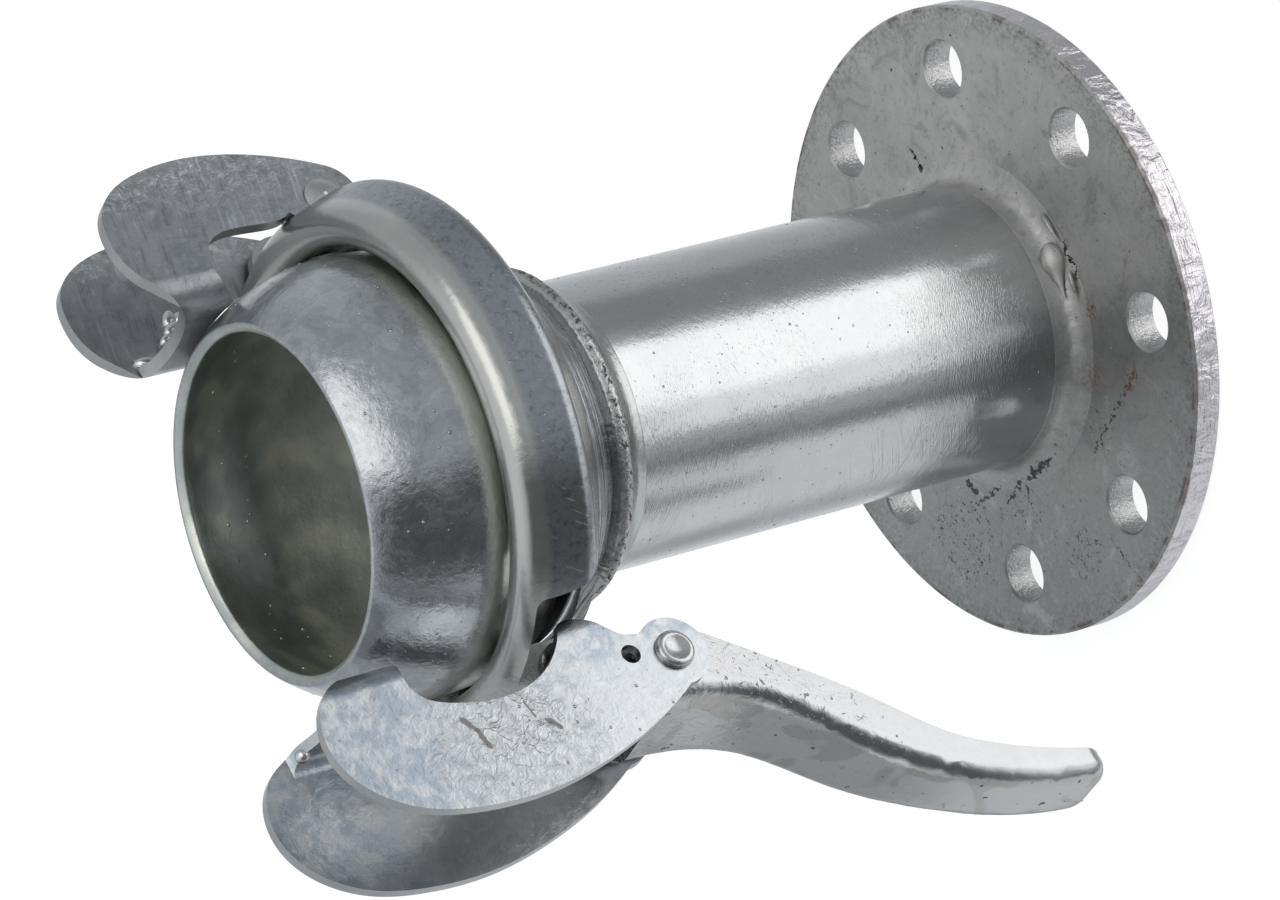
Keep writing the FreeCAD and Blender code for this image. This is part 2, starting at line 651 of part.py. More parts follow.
def make_parts():
    ring_pivot = at(pivot_out, pivot_up)
    catch_pivot = at(-pivot_out, pivot_up)
    hook_pivot = at(hook_pivot_out, hook_pivot_up)
    return {
        "flange": make_flange(),
        "pipe": make_pipe(),
        "flange_weld": make_flange_weld(),
        "bore_weld": make_bore_weld(),
        "neck_weld": make_neck_weld(),
        "ball_end": make_ball_end(),
        "locking_ring": make_locking_ring(),
        "lever_pin": placed_pin(ring_pivot, lever_half, lever_pin_head_height, 1),
        "catch_hook_pin": placed_pin(catch_pivot, catch_hook_half, pin_head_height, -1),
        "catch_hook": make_catch_hook(),
        "lever": make_lever(),
        "lever_hook_pin": placed_pin(hook_pivot, lever_hook_half, pin_head_height, 1),
        "lever_hook": make_lever_hook(),
    }


os.makedirs("parts", exist_ok=True)
for name, shape in make_parts().items():
    solid = shape.Solids[0] if len(shape.Solids) == 1 else shape
    box = solid.BoundBox
    print(f"{name}: solids {len(shape.Solids)} valid {shape.isValid()} volume {solid.Volume:.0f} mm3 "
          f"out {box.XMin:.1f} to {box.XMax:.1f}, up {box.ZMin:.1f} to {box.ZMax:.1f}")
    solid.exportStep(f"parts/{name}.step")
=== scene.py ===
# %% [markdown]
# # A galvanised flange coupling
#
# The object is the ball half of a pipe coupling: a flange, a short pipe, a ball end, a pressed
# ring that turns behind the ball, and two hooks, one of them thrown by a lever.  Every piece
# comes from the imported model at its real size.  This lesson gives the pieces their zinc skin,
# the welds their beads, and the surface its drips, pimples, pits, scratches and rust.
# Lengths are in metres unless a name or a comment says mm.

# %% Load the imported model
import json
import math

import bmesh
import bpy
from mathutils import Matrix, Vector

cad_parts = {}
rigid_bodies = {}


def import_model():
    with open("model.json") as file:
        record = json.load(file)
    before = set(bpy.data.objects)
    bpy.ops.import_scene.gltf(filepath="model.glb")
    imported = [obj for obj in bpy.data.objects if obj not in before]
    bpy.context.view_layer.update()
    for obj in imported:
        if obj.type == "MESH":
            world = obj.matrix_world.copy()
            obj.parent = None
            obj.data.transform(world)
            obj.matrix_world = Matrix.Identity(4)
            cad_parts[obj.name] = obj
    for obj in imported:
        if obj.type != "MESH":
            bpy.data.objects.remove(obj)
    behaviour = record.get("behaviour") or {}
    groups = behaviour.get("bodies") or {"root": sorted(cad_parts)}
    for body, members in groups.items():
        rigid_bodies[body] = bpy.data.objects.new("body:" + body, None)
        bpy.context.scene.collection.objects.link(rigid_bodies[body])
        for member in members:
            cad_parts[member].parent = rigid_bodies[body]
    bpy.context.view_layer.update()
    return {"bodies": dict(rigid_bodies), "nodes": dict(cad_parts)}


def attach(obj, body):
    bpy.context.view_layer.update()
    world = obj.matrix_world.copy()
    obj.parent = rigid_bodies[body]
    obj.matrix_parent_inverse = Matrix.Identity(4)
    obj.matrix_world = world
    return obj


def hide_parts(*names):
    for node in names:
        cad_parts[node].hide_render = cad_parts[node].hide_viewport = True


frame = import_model()
nodes = frame["nodes"]
mm = 0.001
scene = bpy.context.scene
scene.view_settings.view_transform = "Standard"
print("nodes:", ", ".join(sorted(nodes)))
print("bodies:", ", ".join(sorted(frame["bodies"])))

# %% [markdown]
# ## Camera
#
# A long lens looks down on the standing part from the far left and is rolled on its side, so
# that the pipe runs across the picture as it does in the photograph.  A camera could be set
# by three angles, but a place, a point to aim at and a roll are easier to read and to change.

# %% Camera


def add_object(name, data):
    thing = bpy.data.objects.new(name, data)
    scene.collection.objects.link(thing)
    return thing


camera_spot = Vector((0.60982, 1.24992, 1.05151))
camera_aim = Vector((0.01022, -0.00488, 0.14530))
camera_roll = math.radians(104.603)
lens_mm = 156.7
sensor_mm = 36.0

camera_data = bpy.data.cameras.new("camera")
camera_data.lens = lens_mm
camera_data.sensor_width = sensor_mm
camera = add_object("camera", camera_data)
level = (camera_aim - camera_spot).to_track_quat("-Z", "Y").to_matrix().to_4x4()
camera.matrix_world = (Matrix.Translation(camera_spot) @ level
                       @ Matrix.Rotation(-camera_roll, 4, "Z"))
scene.camera = camera
print("camera looks", tuple(round(x, 3) for x in (camera_aim - camera_spot).normalized()))

# %% [markdown]
# ## Node maths as plain expressions
#
# A finish is easier to follow as `1 - mask * 0.4` than as a row of Math nodes.  This small
# class wraps a socket and adds the Math node for each operation.  A tree's `add` method makes
# any other node from its type, its settings and the values or links of its sockets.  Both
# serve materials and Geometry Nodes alike.

# %% Sockets that take part in arithmetic


class Wire:
    """An output socket.  Arithmetic and comparison with it add Math nodes to its tree."""

    def __init__(self, tree, socket):
        self.tree = tree
        self.socket = socket

    def maths(self, operation, *others, flip=False):
        values = [self, *others]
        if flip:
            values.reverse()
        return self.tree.add("ShaderNodeMath", {"operation": operation},
                             dict(enumerate(values)))

    def __add__(self, other):
        return self.maths("ADD", other)

    def __sub__(self, other):
        return self.maths("SUBTRACT", other)

    def __mul__(self, other):
        return self.maths("MULTIPLY", other)

    def __truediv__(self, other):
        return self.maths("DIVIDE", other)

    def __rsub__(self, other):
        return self.maths("SUBTRACT", other, flip=True)

    __radd__ = __add__
    __rmul__ = __mul__

    def __gt__(self, other):
        return self.maths("GREATER_THAN", other)

    def __lt__(self, other):
        return self.maths("LESS_THAN", other)

    def larger(self, other):
        return self.maths("MAXIMUM", other)

    def smaller(self, other):
        return self.maths("MINIMUM", other)

    def size(self):
        return self.maths("ABSOLUTE")

    def step(self, low, high):
        """0 below low, 1 above high and smooth between them.  high may be the smaller."""
        return self.tree.add("ShaderNodeMapRange", {"interpolation_type": "SMOOTHSTEP"},
                             {"Value": self, "From Min": low, "From Max": high})

    def band(self, low, high, edge):
        """1 between low and high, and 0 outside them, with soft edges."""
        return self.step(low - edge, low + edge) * self.step(high + edge, high - edge)


def long_side(first, second):
    """The long side of a right triangle, from its two short sides."""
    return (first * first + second * second).maths("SQRT")


class Tree:
    """A node tree, with short ways to add to it."""

    def __init__(self, tree):
        self.tree = tree
        tree.nodes.clear()

    def add(self, kind, settings=None, inputs=None, out=0):
        node = self.tree.nodes.new(kind)
        for name, value in (settings or {}).items():
            setattr(node, name, value)
        for name, value in (inputs or {}).items():
            if isinstance(value, Wire):
                self.tree.links.new(value.socket, node.inputs[name])
            elif value is not None:
                node.inputs[name].default_value = value
        return Wire(self, node.outputs[out]) if node.outputs else node

    def vector(self, operation, first, second=None, out=0, **more):
        return self.add("ShaderNodeVectorMath", {"operation": operation},
                        {0: first, 1: second, **more}, out)

    def split(self, vector):
        node = self.add("ShaderNodeSeparateXYZ", None, {0: vector}).socket.node
        return [Wire(self, socket) for socket in node.outputs]

    def join(self, x, y, z):
        return self.add("ShaderNodeCombineXYZ", None, {0: x, 1: y, 2: z})

    def mix(self, share, first, second):
        """A colour between two colours.  6, 7 and 2 are the node's sockets for colours."""
        return self.add("ShaderNodeMix", {"data_type": "RGBA"},
                        {0: share, 6: first, 7: second}, 2)

    def noise(self, place, scale, detail=3.0, rough=0.5, twist=0.0, out=0):
        """Cloudy noise, around 0.5.  scale is in turns for each unit of the place."""
        return self.add("ShaderNodeTexNoise", None,
                        {"Vector": place, "Scale": scale, "Detail": detail,
                         "Roughness": rough, "Distortion": twist}, out)

    def cells(self, place, scale, feature="F1", out=0):
        return self.add("ShaderNodeTexVoronoi", {"feature": feature},
                        {"Vector": place, "Scale": scale}, out)

    def stretched(self, place, turn, stretch):
        """The place turned and then squeezed, so that a pattern on it draws out in lines."""
        turned = self.add("ShaderNodeMapping", None, {"Vector": place, "Rotation": turn})
        return self.add("ShaderNodeMapping", None, {"Vector": turned, "Scale": stretch})

    def takes(self, **inputs):
        """The inputs of a Geometry Nodes tree, as wires, and its one output."""
        self.inputs = {}
        for name, (kind, value) in inputs.items():
            socket = self.tree.interface.new_socket(name.replace("_", " "), in_out="INPUT",
                                                    socket_type="NodeSocket" + kind)
            if value is not None:
                socket.default_value = value
            self.inputs[name] = socket.identifier
        self.tree.interface.new_socket("Geometry", in_out="OUTPUT",
                                       socket_type="NodeSocketGeometry")
        start = self.tree.nodes.new("NodeGroupInput")
        return {name: Wire(self, start.outputs[index]) for index, name in enumerate(inputs)}

    def gives(self, shape):
        self.add("NodeGroupOutput", None, {0: shape})
        return self


def grey(value, warmth=0.0, green=0.0):
    """A grey, warm above zero and blue below it."""
    return (value * (1 + warmth), value * (1 + green), value * (1 - warmth), 1.0)


def material_tree(name):
    material = bpy.data.materials.new(name)
    material.use_nodes = True
    return material, Tree(material.node_tree)


# %% [markdown]
# ## The set
#
# Bare zinc shows its surroundings as much as itself, so the light is half of the finish.  The
# part was photographed in a small light tent.  Lamps could be placed one by one, and the metal
# would then show their hard shapes.  Here the tent itself is a glowing sphere round the part,
# and its panels and gaps are painted on it by compass turn and height.  Turn is counted in
# degrees from near the middle of the large box at the side, which gives the pipe its bright
# streak.  The camera and its stand are the dark opening.
#
# The tent stands between the part and the white background, so the metal shows the tent's
# panels.  The ground keeps the part's faint shadow.

# %% Light tent
tent_radius = 0.60
tent_height = 0.11
tent_turn = math.radians(80)
wall_light = 0.50
# name, turn from, turn to, edge, height from, height to, edge, light
panels = (
    ("far wall", 125, 400, 30, -90, 12, 14, 0.82),
    ("far wall, other side", -400, -158, 14, -90, 12, 14, 0.82),
    ("overhead", -400, 400, 10, 62, 200, 16, 0.85),
    ("low panel", -132, -66, 7, -90, -4, 6, 0.86),
    ("low panel's bright end", -102, -84, 3, 2, 20, 5, 1.05),
    ("strip beside it", -78, -74, 1.5, -8, 12, 4, 0.80),
    ("dark opening", -74, -22, 8, -14, 50, 9, 0.13),
    ("foot of the stand", -66, -53, 2.5, -90, -14, 6, 0.27),
    ("behind the stand", -53, -44, 4, -90, -18, 6, 0.52),
    ("side box, dim end", -40, -12, 3, -64, -17, 5, 1.20),
    ("side box", -17, 35, 4, -64, -14, 5, 1.68),
    ("gap over the side box", 44, 84, 7, -90, 4, 9, 0.33),
    ("pale wall", 88, 124, 14, -28, 14, 10, 0.62),
    ("top box", -16, 52, 7, 36, 68, 7, 1.62),
)

tent_finish, tent = material_tree("light_tent")
spot = tent.vector("SUBTRACT", tent.add("ShaderNodeTexCoord", out="Object"), (0, 0, tent_height))
aside, across, upward = tent.split(tent.add(
    "ShaderNodeVectorRotate", {"rotation_type": "Z_AXIS"},
    {"Vector": tent.vector("NORMALIZE", spot), "Angle": -tent_turn}))
turn = across.maths("ARCTAN2", aside) * math.degrees(1)
height = upward.maths("ARCSINE") * math.degrees(1)
light = wall_light
for name, left, right, side_edge, low, high, edge, strength in panels:
    mask = turn.band(left, right, side_edge) * height.band(low, high, edge)
    light = light * (1 - mask) + mask * strength
cool = (0.945, 0.995, 1.04, 1)
tone = tent.mix(light.step(0.4, 1.5), cool, (1, 1, 1, 1))
glow = tent.add("ShaderNodeEmission", None, {"Color": tone, "Strength": light})
tent.add("ShaderNodeOutputMaterial", None, {"Surface": glow})
tent_finish.cycles.emission_sampling = "NONE"

tent_shape = bmesh.new()
bmesh.ops.create_icosphere(tent_shape, subdivisions=5, radius=tent_radius,
                           matrix=Matrix.Translation((0, 0, tent_height)))
tent_mesh = bpy.data.meshes.new("light_tent")
tent_shape.to_mesh(tent_mesh)
tent_shape.free()
tent_mesh.materials.append(tent_finish)
tent_object = add_object("light_tent", tent_mesh)
tent_object.visible_camera = False
tent_object.visible_shadow = False
print("tent panels:", len(panels))

# %% White background
room_light = 0.8        # what reaches the ground outside the tent

world = bpy.data.worlds.new("white")
scene.world = world
world.use_nodes = True
room = Tree(world.node_tree)


def shown_white(tree):
    """1 for what is seen directly, in metal or through glass."""
    path = tree.add("ShaderNodeLightPath").socket.node
    seen = [Wire(tree, path.outputs[name]) for name in
            ("Is Camera Ray", "Is Glossy Ray", "Is Transmission Ray")]
    return seen[0].larger(seen[1]).larger(seen[2])


shown = shown_white(room)
room.add("ShaderNodeOutputWorld", None, {"Surface": room.add(
    "ShaderNodeBackground", None,
    {"Color": (1, 1, 1, 1), "Strength": shown + (1 - shown) * room_light})})

# %% Ground
ground_size = 12.0
ground_glow = 0.86      # light of its own, so that it shows as white
ground_shade = 0.30     # the part of it that takes the object's shadow

ground_mesh = bpy.data.meshes.new("ground")
half = ground_size / 2
ground_mesh.from_pydata([(-half, -half, 0), (half, -half, 0), (half, half, 0), (-half, half, 0)],
                        [], [(0, 1, 2, 3)])
ground = add_object("ground", ground_mesh)
ground_finish, paper = material_tree("white_ground")
matt = paper.add("ShaderNodeBsdfDiffuse", None, {"Color": grey(ground_shade)})
white = paper.add("ShaderNodeEmission", None,
                  {"Color": (1, 1, 1, 1), "Strength": shown_white(paper) * ground_glow})
paper.add("ShaderNodeOutputMaterial", None,
          {"Surface": paper.add("ShaderNodeAddShader", None, {0: matt, 1: white})})
ground_mesh.materials.append(ground_finish)
# The metal shows the tent's lower panels, which hang below the ground's level
ground.visible_glossy = False
ground.visible_shadow = False
ground.visible_diffuse = False
print("ground:", ground_size, "m across")

# %% [markdown]
# ## Zinc
#
# Hot-dip galvanising leaves a skin of zinc that is bright and smooth in one place and dull or
# spangled in another.  An image could show it, but a procedural finish works at any distance
# and on any piece.  One class makes the skin: clouds of tone, specks, fine lumps and pits.
# Each piece then adds its own marks, line by line, before the shader is made.

# %% The zinc finish


class Skin:
    """A zinc finish while it is being made.  Its place x, y, z and its relief are in mm."""

    def __init__(self, name, tone, contrast, shine, dull, lumps, grain, pits, seed,
                 warmth=0.0, green=0.0, cloud=0.05):
        self.material, tree = material_tree(name)
        self.tree = tree
        self.tone = tone
        self.warmth = warmth
        place = tree.add("ShaderNodeTexCoord", out="Object")
        self.place = tree.vector("SCALE", place, Scale=1 / mm)
        self.x, self.y, self.z = tree.split(self.place)
        self.loose = tree.vector("ADD", self.place, (seed * 37.0, seed * 11.0, seed * 23.0))
        # The Normal of Texture Coordinate turns with its body
        self.facing = tree.split(tree.add("ShaderNodeTexCoord", out="Normal"))
        self.clouds = self.noise(cloud, 5.0, 0.6, 0.4)
        self.mottle = self.noise(cloud * 6, 4.0, 0.6)
        self.fine = self.noise(1.4, 3.0, 0.6)
        level = (self.clouds - 0.5) * contrast * 2.2 + (self.mottle - 0.5) * contrast
        level = level + (self.fine - 0.5) * 0.10 + 0.5
        self.base = tree.mix(level.larger(0.0).smaller(1.0),
                             grey(tone * 0.66, warmth - 0.03, green),
                             grey(tone * 1.34, warmth + 0.02, green))
        self.rough = (self.clouds * 0.8 + self.mottle * 0.6 - 0.2) * (dull - shine) + shine
        self.relief = (self.mottle - 0.5) * lumps + (self.fine - 0.5) * grain
        specks = self.noise(0.55, 2.0, 0.5).step(0.70, 0.75) * pits
        self.stain(specks, grey(0.06, 0.15), 0.75, 0.05)
        self.metal = 1.0

    def noise(self, scale, detail=3.0, rough=0.5, twist=0.0, out=0):
        """Noise over the piece, shifted so that no two finishes have the same."""
        return self.tree.noise(self.loose, scale, detail, rough, twist, out)

    def rings(self, around, up, detail=3.0, rough=0.6, twist=0.0):
        """Noise with its own scales around the axis and up it, as for turned grooves."""
        place = self.tree.join(self.x * around, self.y * around, self.z * up)
        return self.tree.noise(place, 1.0, detail, rough, twist)

    def streaks(self, turn, stretch, detail=1.0, rough=0.5):
        """Noise drawn out in lines."""
        return self.tree.noise(self.tree.stretched(self.loose, turn, stretch), 1.0, detail, rough)

    def tint(self, mask, colour):
        self.base = self.tree.mix(mask, self.base, colour)

    def stain(self, mask, colour, rough=0.8, deep=0.0):
        """Dirt or rust: its own colour, dull, and a little deeper."""
        self.tint(mask, colour)
        self.rough += (rough - self.rough) * mask
        self.relief -= mask * deep

    def spangle(self, size, strength, shine=0.0):
        """Zinc crystals: flat cells that differ in tone and a little in gloss."""
        tree = self.tree
        warped = tree.vector("ADD", self.loose, tree.vector(
            "SCALE", self.noise(0.25, 1.0, out="Color"), Scale=size * 0.8))
        crystal = tree.split(tree.cells(warped, 1 / size, out="Color"))[0]
        self.tint((crystal - 0.5).larger(0.0) * 2 * strength, grey(self.tone * 1.6, self.warmth))
        self.tint((0.5 - crystal).larger(0.0) * 2 * strength, grey(self.tone * 0.45, self.warmth))
        self.rough += (crystal - 0.5) * shine

    def hairs(self, turn, count, length, height, amount):
        """Brush hairs that wind about the pipe's axis, turn degrees for each mm along it."""
        tree = self.tree
        wound = tree.add("ShaderNodeVectorRotate", {"rotation_type": "Z_AXIS"},
                         {"Vector": self.loose, "Angle": self.z * math.radians(turn)})
        lines = tree.noise(tree.stretched(wound, (0, 0, 0), (1, 1, 1 / length)), count, 2.0, 0.6)
        where = self.noise(0.035 + turn * 0.001, 2.0).step(0.62 - amount * 0.3, 0.62)
        self.relief += (lines - 0.5) * where * height
        return lines.step(0.60, 0.70) * where

    def done(self):
        tree = self.tree
        normal = tree.add("ShaderNodeBump", None, {"Height": self.relief, "Distance": mm})
        shader = tree.add("ShaderNodeBsdfPrincipled", None, {
            "Base Color": self.base, "Roughness": self.rough.larger(0.08).smaller(0.9),
            "Metallic": self.metal, "Normal": normal})
        tree.add("ShaderNodeOutputMaterial", None, {"Surface": shader})
        print("finish:", self.material.name, len(tree.tree.nodes), "nodes")
        return self.material


# %% Masks


def outward(skin):
    """How far a face points away from the pipe's axis, from -1 to 1."""
    away = skin.tree.vector("NORMALIZE", skin.tree.join(skin.x, skin.y, 0.0))
    return skin.tree.vector("DOT_PRODUCT", away, skin.tree.join(*skin.facing), out="Value")


def radius(skin):
    return long_side(skin.x, skin.y)


def spot_mask(skin, centre, size, edge):
    """1 near a point and 0 away from it."""
    far = skin.tree.vector("DISTANCE", skin.place, centre, out="Value")
    return far.step(size + edge, size)


def stroke_gap(x, y, start, end):
    """How far a place is from the straight stroke between two points, all in mm."""
    run_x, run_y = end[0] - start[0], end[1] - start[1]
    from_x, from_y = x - start[0], y - start[1]
    share = (from_x * run_x + from_y * run_y) / (run_x ** 2 + run_y ** 2)
    share = share.larger(0.0).smaller(1.0)
    return long_side(from_x - share * run_x, from_y - share * run_y)


finishes = {}

# %% [markdown]
# ## The pipe
#
# The pipe is the brightest piece.  It was wiped while the zinc was still soft, which left fine
# slanting hairs that fray the edges of every reflection.  They wind round the pipe, so they
# are noise on a place that is turned about the axis as it rises: it has no seam.

# %% Pipe finish
pipe_skin = Skin("pipe_zinc", tone=0.56, warmth=-0.012, contrast=0.12, shine=0.11, dull=0.21,
                 lumps=0.07, grain=0.005, pits=0.35, seed=2)
slow = pipe_skin.noise(0.03, 2.0)
pipe_skin.relief += (slow - 0.5) * 0.35
steep = pipe_skin.hairs(1.9, 0.80, 10, 0.075, 1.0)
shallow = pipe_skin.hairs(-1.5, 0.75, 12, 0.060, 0.8)
pipe_skin.tint((steep + shallow).smaller(1.0) * 0.55, grey(0.28, -0.03))
pecks = pipe_skin.noise(0.75, 3.0, 0.7).step(0.68, 0.71)
pecked = pipe_skin.noise(0.05, 1.0).step(0.50, 0.60)
pipe_skin.stain(pecks * pecked * 0.7, grey(0.16, 0.05), 0.5, 0.12)
# Painted shade: the pipe is darker and bluer near the flange
shade_near_flange = pipe_skin.z.step(62, 26)
pipe_skin.tint(shade_near_flange * 0.35, grey(0.40, -0.05))
# Painted shade: the inside of the pipe is darker
inside_pipe_shade = outward(pipe_skin).step(0.1, -0.1)
pipe_skin.tint(inside_pipe_shade * 0.6, grey(0.25, -0.02, 0.02))
finishes["pipe"] = pipe_skin.done()

# %% [markdown]
# ## The flange
#
# The flange is dull and grey, cut from plate with a flame, with black pits, a few cracks in
# the zinc and rust that has crept out of them.  Speckles alone come from noise.  The cracks
# have places of their own, so each is a short stroke: the distance to a line, made ragged.

# %% Flange finish
flange_top_mm = 10.0
# from, to, on the flange's face in mm, half width, share of rust in its colour
cracks = (
    ((5, 52), (14, 50.5), 0.45, 0.05),
    ((14, 50.5), (23, 46), 0.50, 0.25),
    ((49, -4), (47, -19), 1.00, 0.0),
    ((45, -23), (46, -35), 0.60, 0.0),
    ((30, -47), (35, -45), 1.10, 0.1),
    ((40, -34), (38, -48), 0.50, 0.0),
    ((48, -23), (53, -25), 0.55, 0.0),
    ((53, 49), (55, 36), 0.95, 0.9),
    ((55, 36), (57, 23), 0.80, 0.6),
    ((57, 23), (59, 15), 0.80, 0.3),
    ((83, 0), (98, 2), 0.30, 0.1),
    ((-58, 13), (-51, 12), 0.60, 0.0),
)
# middle on the face in mm, reach, how full
speckled = (
    ((42, -62), 26, 0.9),
    ((78, -14), 16, 0.8),
    ((52, -30), 18, 0.7),
    ((56, 26), 16, 0.5),
    ((0, 70), 22, 0.3),
    ((-50, 8), 18, 0.3),
)
rust = (0.16, 0.055, 0.022, 1.0)
soot = (0.022, 0.018, 0.015, 1.0)

flange_skin = Skin("flange_zinc", tone=0.55, warmth=0.030, green=0.010, contrast=0.40,
                   cloud=0.034, shine=0.34, dull=0.56, lumps=0.18, grain=0.06, pits=0.8, seed=1)
tree = flange_skin.tree
top = flange_skin.facing[2].step(0.5, 0.9)
jag_x, jag_y = tree.split(tree.vector("SCALE", tree.vector(
    "SUBTRACT", flange_skin.noise(0.45, 2.0, out="Color"), (0.5, 0.5, 0.5)), Scale=5.0))[:2]
ragged = flange_skin.noise(0.8, 3.0, 0.6)
broken = flange_skin.noise(0.55, 2.0, 0.6).step(0.47, 0.51)
for start, end, half_width, rusty in cracks:
    gap = stroke_gap(flange_skin.x + jag_x, flange_skin.y + jag_y, start, end)
    mask = (ragged * 4.4 * half_width - half_width * 1.2 - gap).step(0.0, 0.25) * top
    if rusty > 0.2:
        mask *= broken
    colour = tuple(a + (b - a) * rusty for a, b in zip(soot, rust))
    flange_skin.stain(mask, colour, 0.85, 0.15)
fleck = flange_skin.noise(0.62, 3.0, 0.65, 0.8)
for (x0, y0), reach, fullness in speckled:
    near = spot_mask(flange_skin, (x0, y0, flange_top_mm), reach * 0.4, reach * 0.6)
    flange_skin.stain((fleck + near * 0.15 * fullness).step(0.725, 0.750) * near * top,
                      (0.04, 0.026, 0.018, 1), 0.85, 0.08)
rust_spots = (((28, 47), 2.4, 1.0), ((42, 32), 5.0, 0.5), ((53, 46), 3.0, 0.9))
for (x0, y0), reach, fullness in rust_spots:
    near = spot_mask(flange_skin, (x0, y0, flange_top_mm), reach * 0.5, reach)
    flange_skin.stain(near * ragged.step(0.42, 0.6) * fullness, (0.30, 0.11, 0.05, 1), 0.85)
shade = flange_skin.x.step(-40, 90) * 0.48 + flange_skin.y.step(60, -60) * 0.26
flange_skin.tint(shade, grey(0.27))
grains = flange_skin.noise(0.7, 4.0, 0.7).step(0.45, 0.75)
flange_skin.tint(grains * 0.30, grey(0.66))
flange_skin.tint(flange_skin.noise(0.3, 4.0, 0.7).step(0.54, 0.70) * 0.4, grey(0.26))
blotch = flange_skin.noise(0.075, 6.0, 0.72, 0.8)
flange_skin.tint(blotch.step(0.52, 0.66) * 0.40, grey(0.25, 0.04))
flange_skin.tint(blotch.step(0.44, 0.34) * 0.35, grey(0.70))
from_axis = radius(flange_skin)
near_edge = from_axis.step(88, 98) * top
flange_skin.tint(near_edge * ragged.step(0.45, 0.65) * 0.5, (0.20, 0.21, 0.22, 1))

# %% Flange rim
# Cut with a flame: lighter, with grooves along it, runs across it and a burnt top edge
upright = flange_skin.facing[2].size().step(0.5, 0.2)
rim = upright * from_axis.step(96, 98)
groove = flange_skin.rings(0.05, 0.45)
flow = flange_skin.rings(0.14, 0.10, 4.0, 0.55, 0.6)
flange_skin.relief += rim * ((groove - 0.5) * 1.0 + (flow - 0.5) * 2.4)
flange_skin.tint(rim * 0.8, (0.74, 0.71, 0.74, 1))
flange_skin.rough -= rim * 0.12
burnt = flange_skin.z.step(8.2, 9.6) * rim + from_axis.step(97.6, 99.2) * top
charred = flange_skin.noise(0.16, 3.0, 0.7).step(0.46, 0.60)
flange_skin.stain(burnt.smaller(1.0) * charred * 0.7, (0.17, 0.10, 0.07, 1), 0.8)
hole_wall = upright * from_axis.band(62, 93, 1)
flange_skin.tint(hole_wall * 0.7, grey(0.52))
flange_skin.relief += hole_wall * (ragged - 0.5) * 0.5
flange_skin.rough -= hole_wall * 0.14
finishes["flange"] = flange_skin.done()

# %% [markdown]
# ## The ball end
#
# The ball is smooth and blue-grey, cloudy like a window in frost, with a greenish band
# next to the ring, painted paler as painted light where the ring shades it.  Inside it is darker
# and greener, with painted highlights as pale beige glints.  The two sides could have two
# materials, but they are one sheet that turns over at the mouth, so one finish asks whether a
# face looks towards the axis or away from it.

# %% Ball finish
ball_skin = Skin("ball_zinc", tone=0.47, warmth=-0.040, contrast=0.26, cloud=0.07, shine=0.13,
                 dull=0.25, lumps=0.16, grain=0.022, pits=0.35, seed=4)
ball_skin.spangle(3.0, 0.10)
frost = ball_skin.noise(0.10, 5.0, 0.7, 0.8)
ball_skin.tint(frost.step(0.52, 0.57) * 0.30, grey(0.66, -0.04))
ball_skin.tint(frost.step(0.44, 0.39) * 0.30, grey(0.30, -0.07))
ball_skin.rough += frost.step(0.50, 0.55) * 0.06
# Painted light, in part: the greenish band next to the ring is painted paler to lift the ring's
# shade
belt = ball_skin.z.band(214, 241, 2.3)
ball_skin.tint(belt * 0.75, (0.60, 0.63, 0.57, 1))
ball_skin.rough += belt * 0.12
inside = outward(ball_skin).step(0.05, -0.15) * ball_skin.z.step(272.4, 271)
ball_skin.tint(inside * 0.80, (0.58, 0.62, 0.575, 1))
# Painted highlight: pale beige glints inside the ball, with darker patches where the noise is low
glint_patches = ball_skin.noise(0.05, 2.0, 0.5)
ball_skin.tint(inside * glint_patches.step(0.48, 0.66) * 0.70, (0.96, 0.93, 0.80, 1))
ball_skin.tint(inside * glint_patches.step(0.50, 0.34) * 0.5, (0.34, 0.37, 0.345, 1))
ball_skin.rough += inside * 0.16
salt = ball_skin.noise(1.1, 2.0, 0.6).step(0.66, 0.72)
ball_skin.tint(salt * 0.35, grey(0.78, -0.02))
scuffs = ball_skin.streaks((0.3, 0.4, 0.2), (0.04, 1.4, 1.4)).step(0.70, 0.76)
ball_skin.tint(scuffs * 0.35, grey(0.22))
# The neck was turned: fine rings about the axis
turned = ball_skin.rings(0.02, 0.8)
ball_skin.relief += (turned - 0.5) * ball_skin.z.step(208, 204) * 0.5
finishes["ball_end"] = ball_skin.done()

# %% [markdown]
# ## The locking ring
#
# The ring was pressed from sheet.  Its nose is smooth and slightly beige, its band dark and
# blue with crystals and scratches, and its cone bright.  The flat ears beside the lever are
# painted pale, as painted light, because they sit in shade.  The band could be cut out as a
# piece, but only the zinc changes there, so a mask of height, radius and facing marks it.

# %% Ring finish
ring_skin = Skin("ring_zinc", tone=0.52, warmth=0.015, green=0.01, contrast=0.16, cloud=0.06,
                 shine=0.18, dull=0.30, lumps=0.08, grain=0.012, pits=0.15, seed=5)
band = (ring_skin.z.band(214.5, 231.5, 1.6) * outward(ring_skin).step(0.75, 0.95)
        * radius(ring_skin).step(80.4, 81.6))
ring_skin.tint(band * 0.75, (0.27, 0.30, 0.33, 1))
crystals = ring_skin.noise(0.45, 4.0, 0.75, 0.4)
ring_skin.tint(crystals.step(0.50, 0.66) * band * 0.5, grey(0.42, -0.06))
ring_skin.tint(crystals.step(0.48, 0.36) * band * 0.5, grey(0.15, -0.08))
ring_skin.relief += (crystals - 0.5) * band * 0.05
scratches = ring_skin.streaks((0.2, 0.5, 0.1), (1.5, 1.5, 0.05)).step(0.69, 0.74) * band
ring_skin.tint(scratches * 0.6, grey(0.62, -0.02))
ring_skin.relief -= scratches * 0.02
ring_skin.rough += band * 0.04
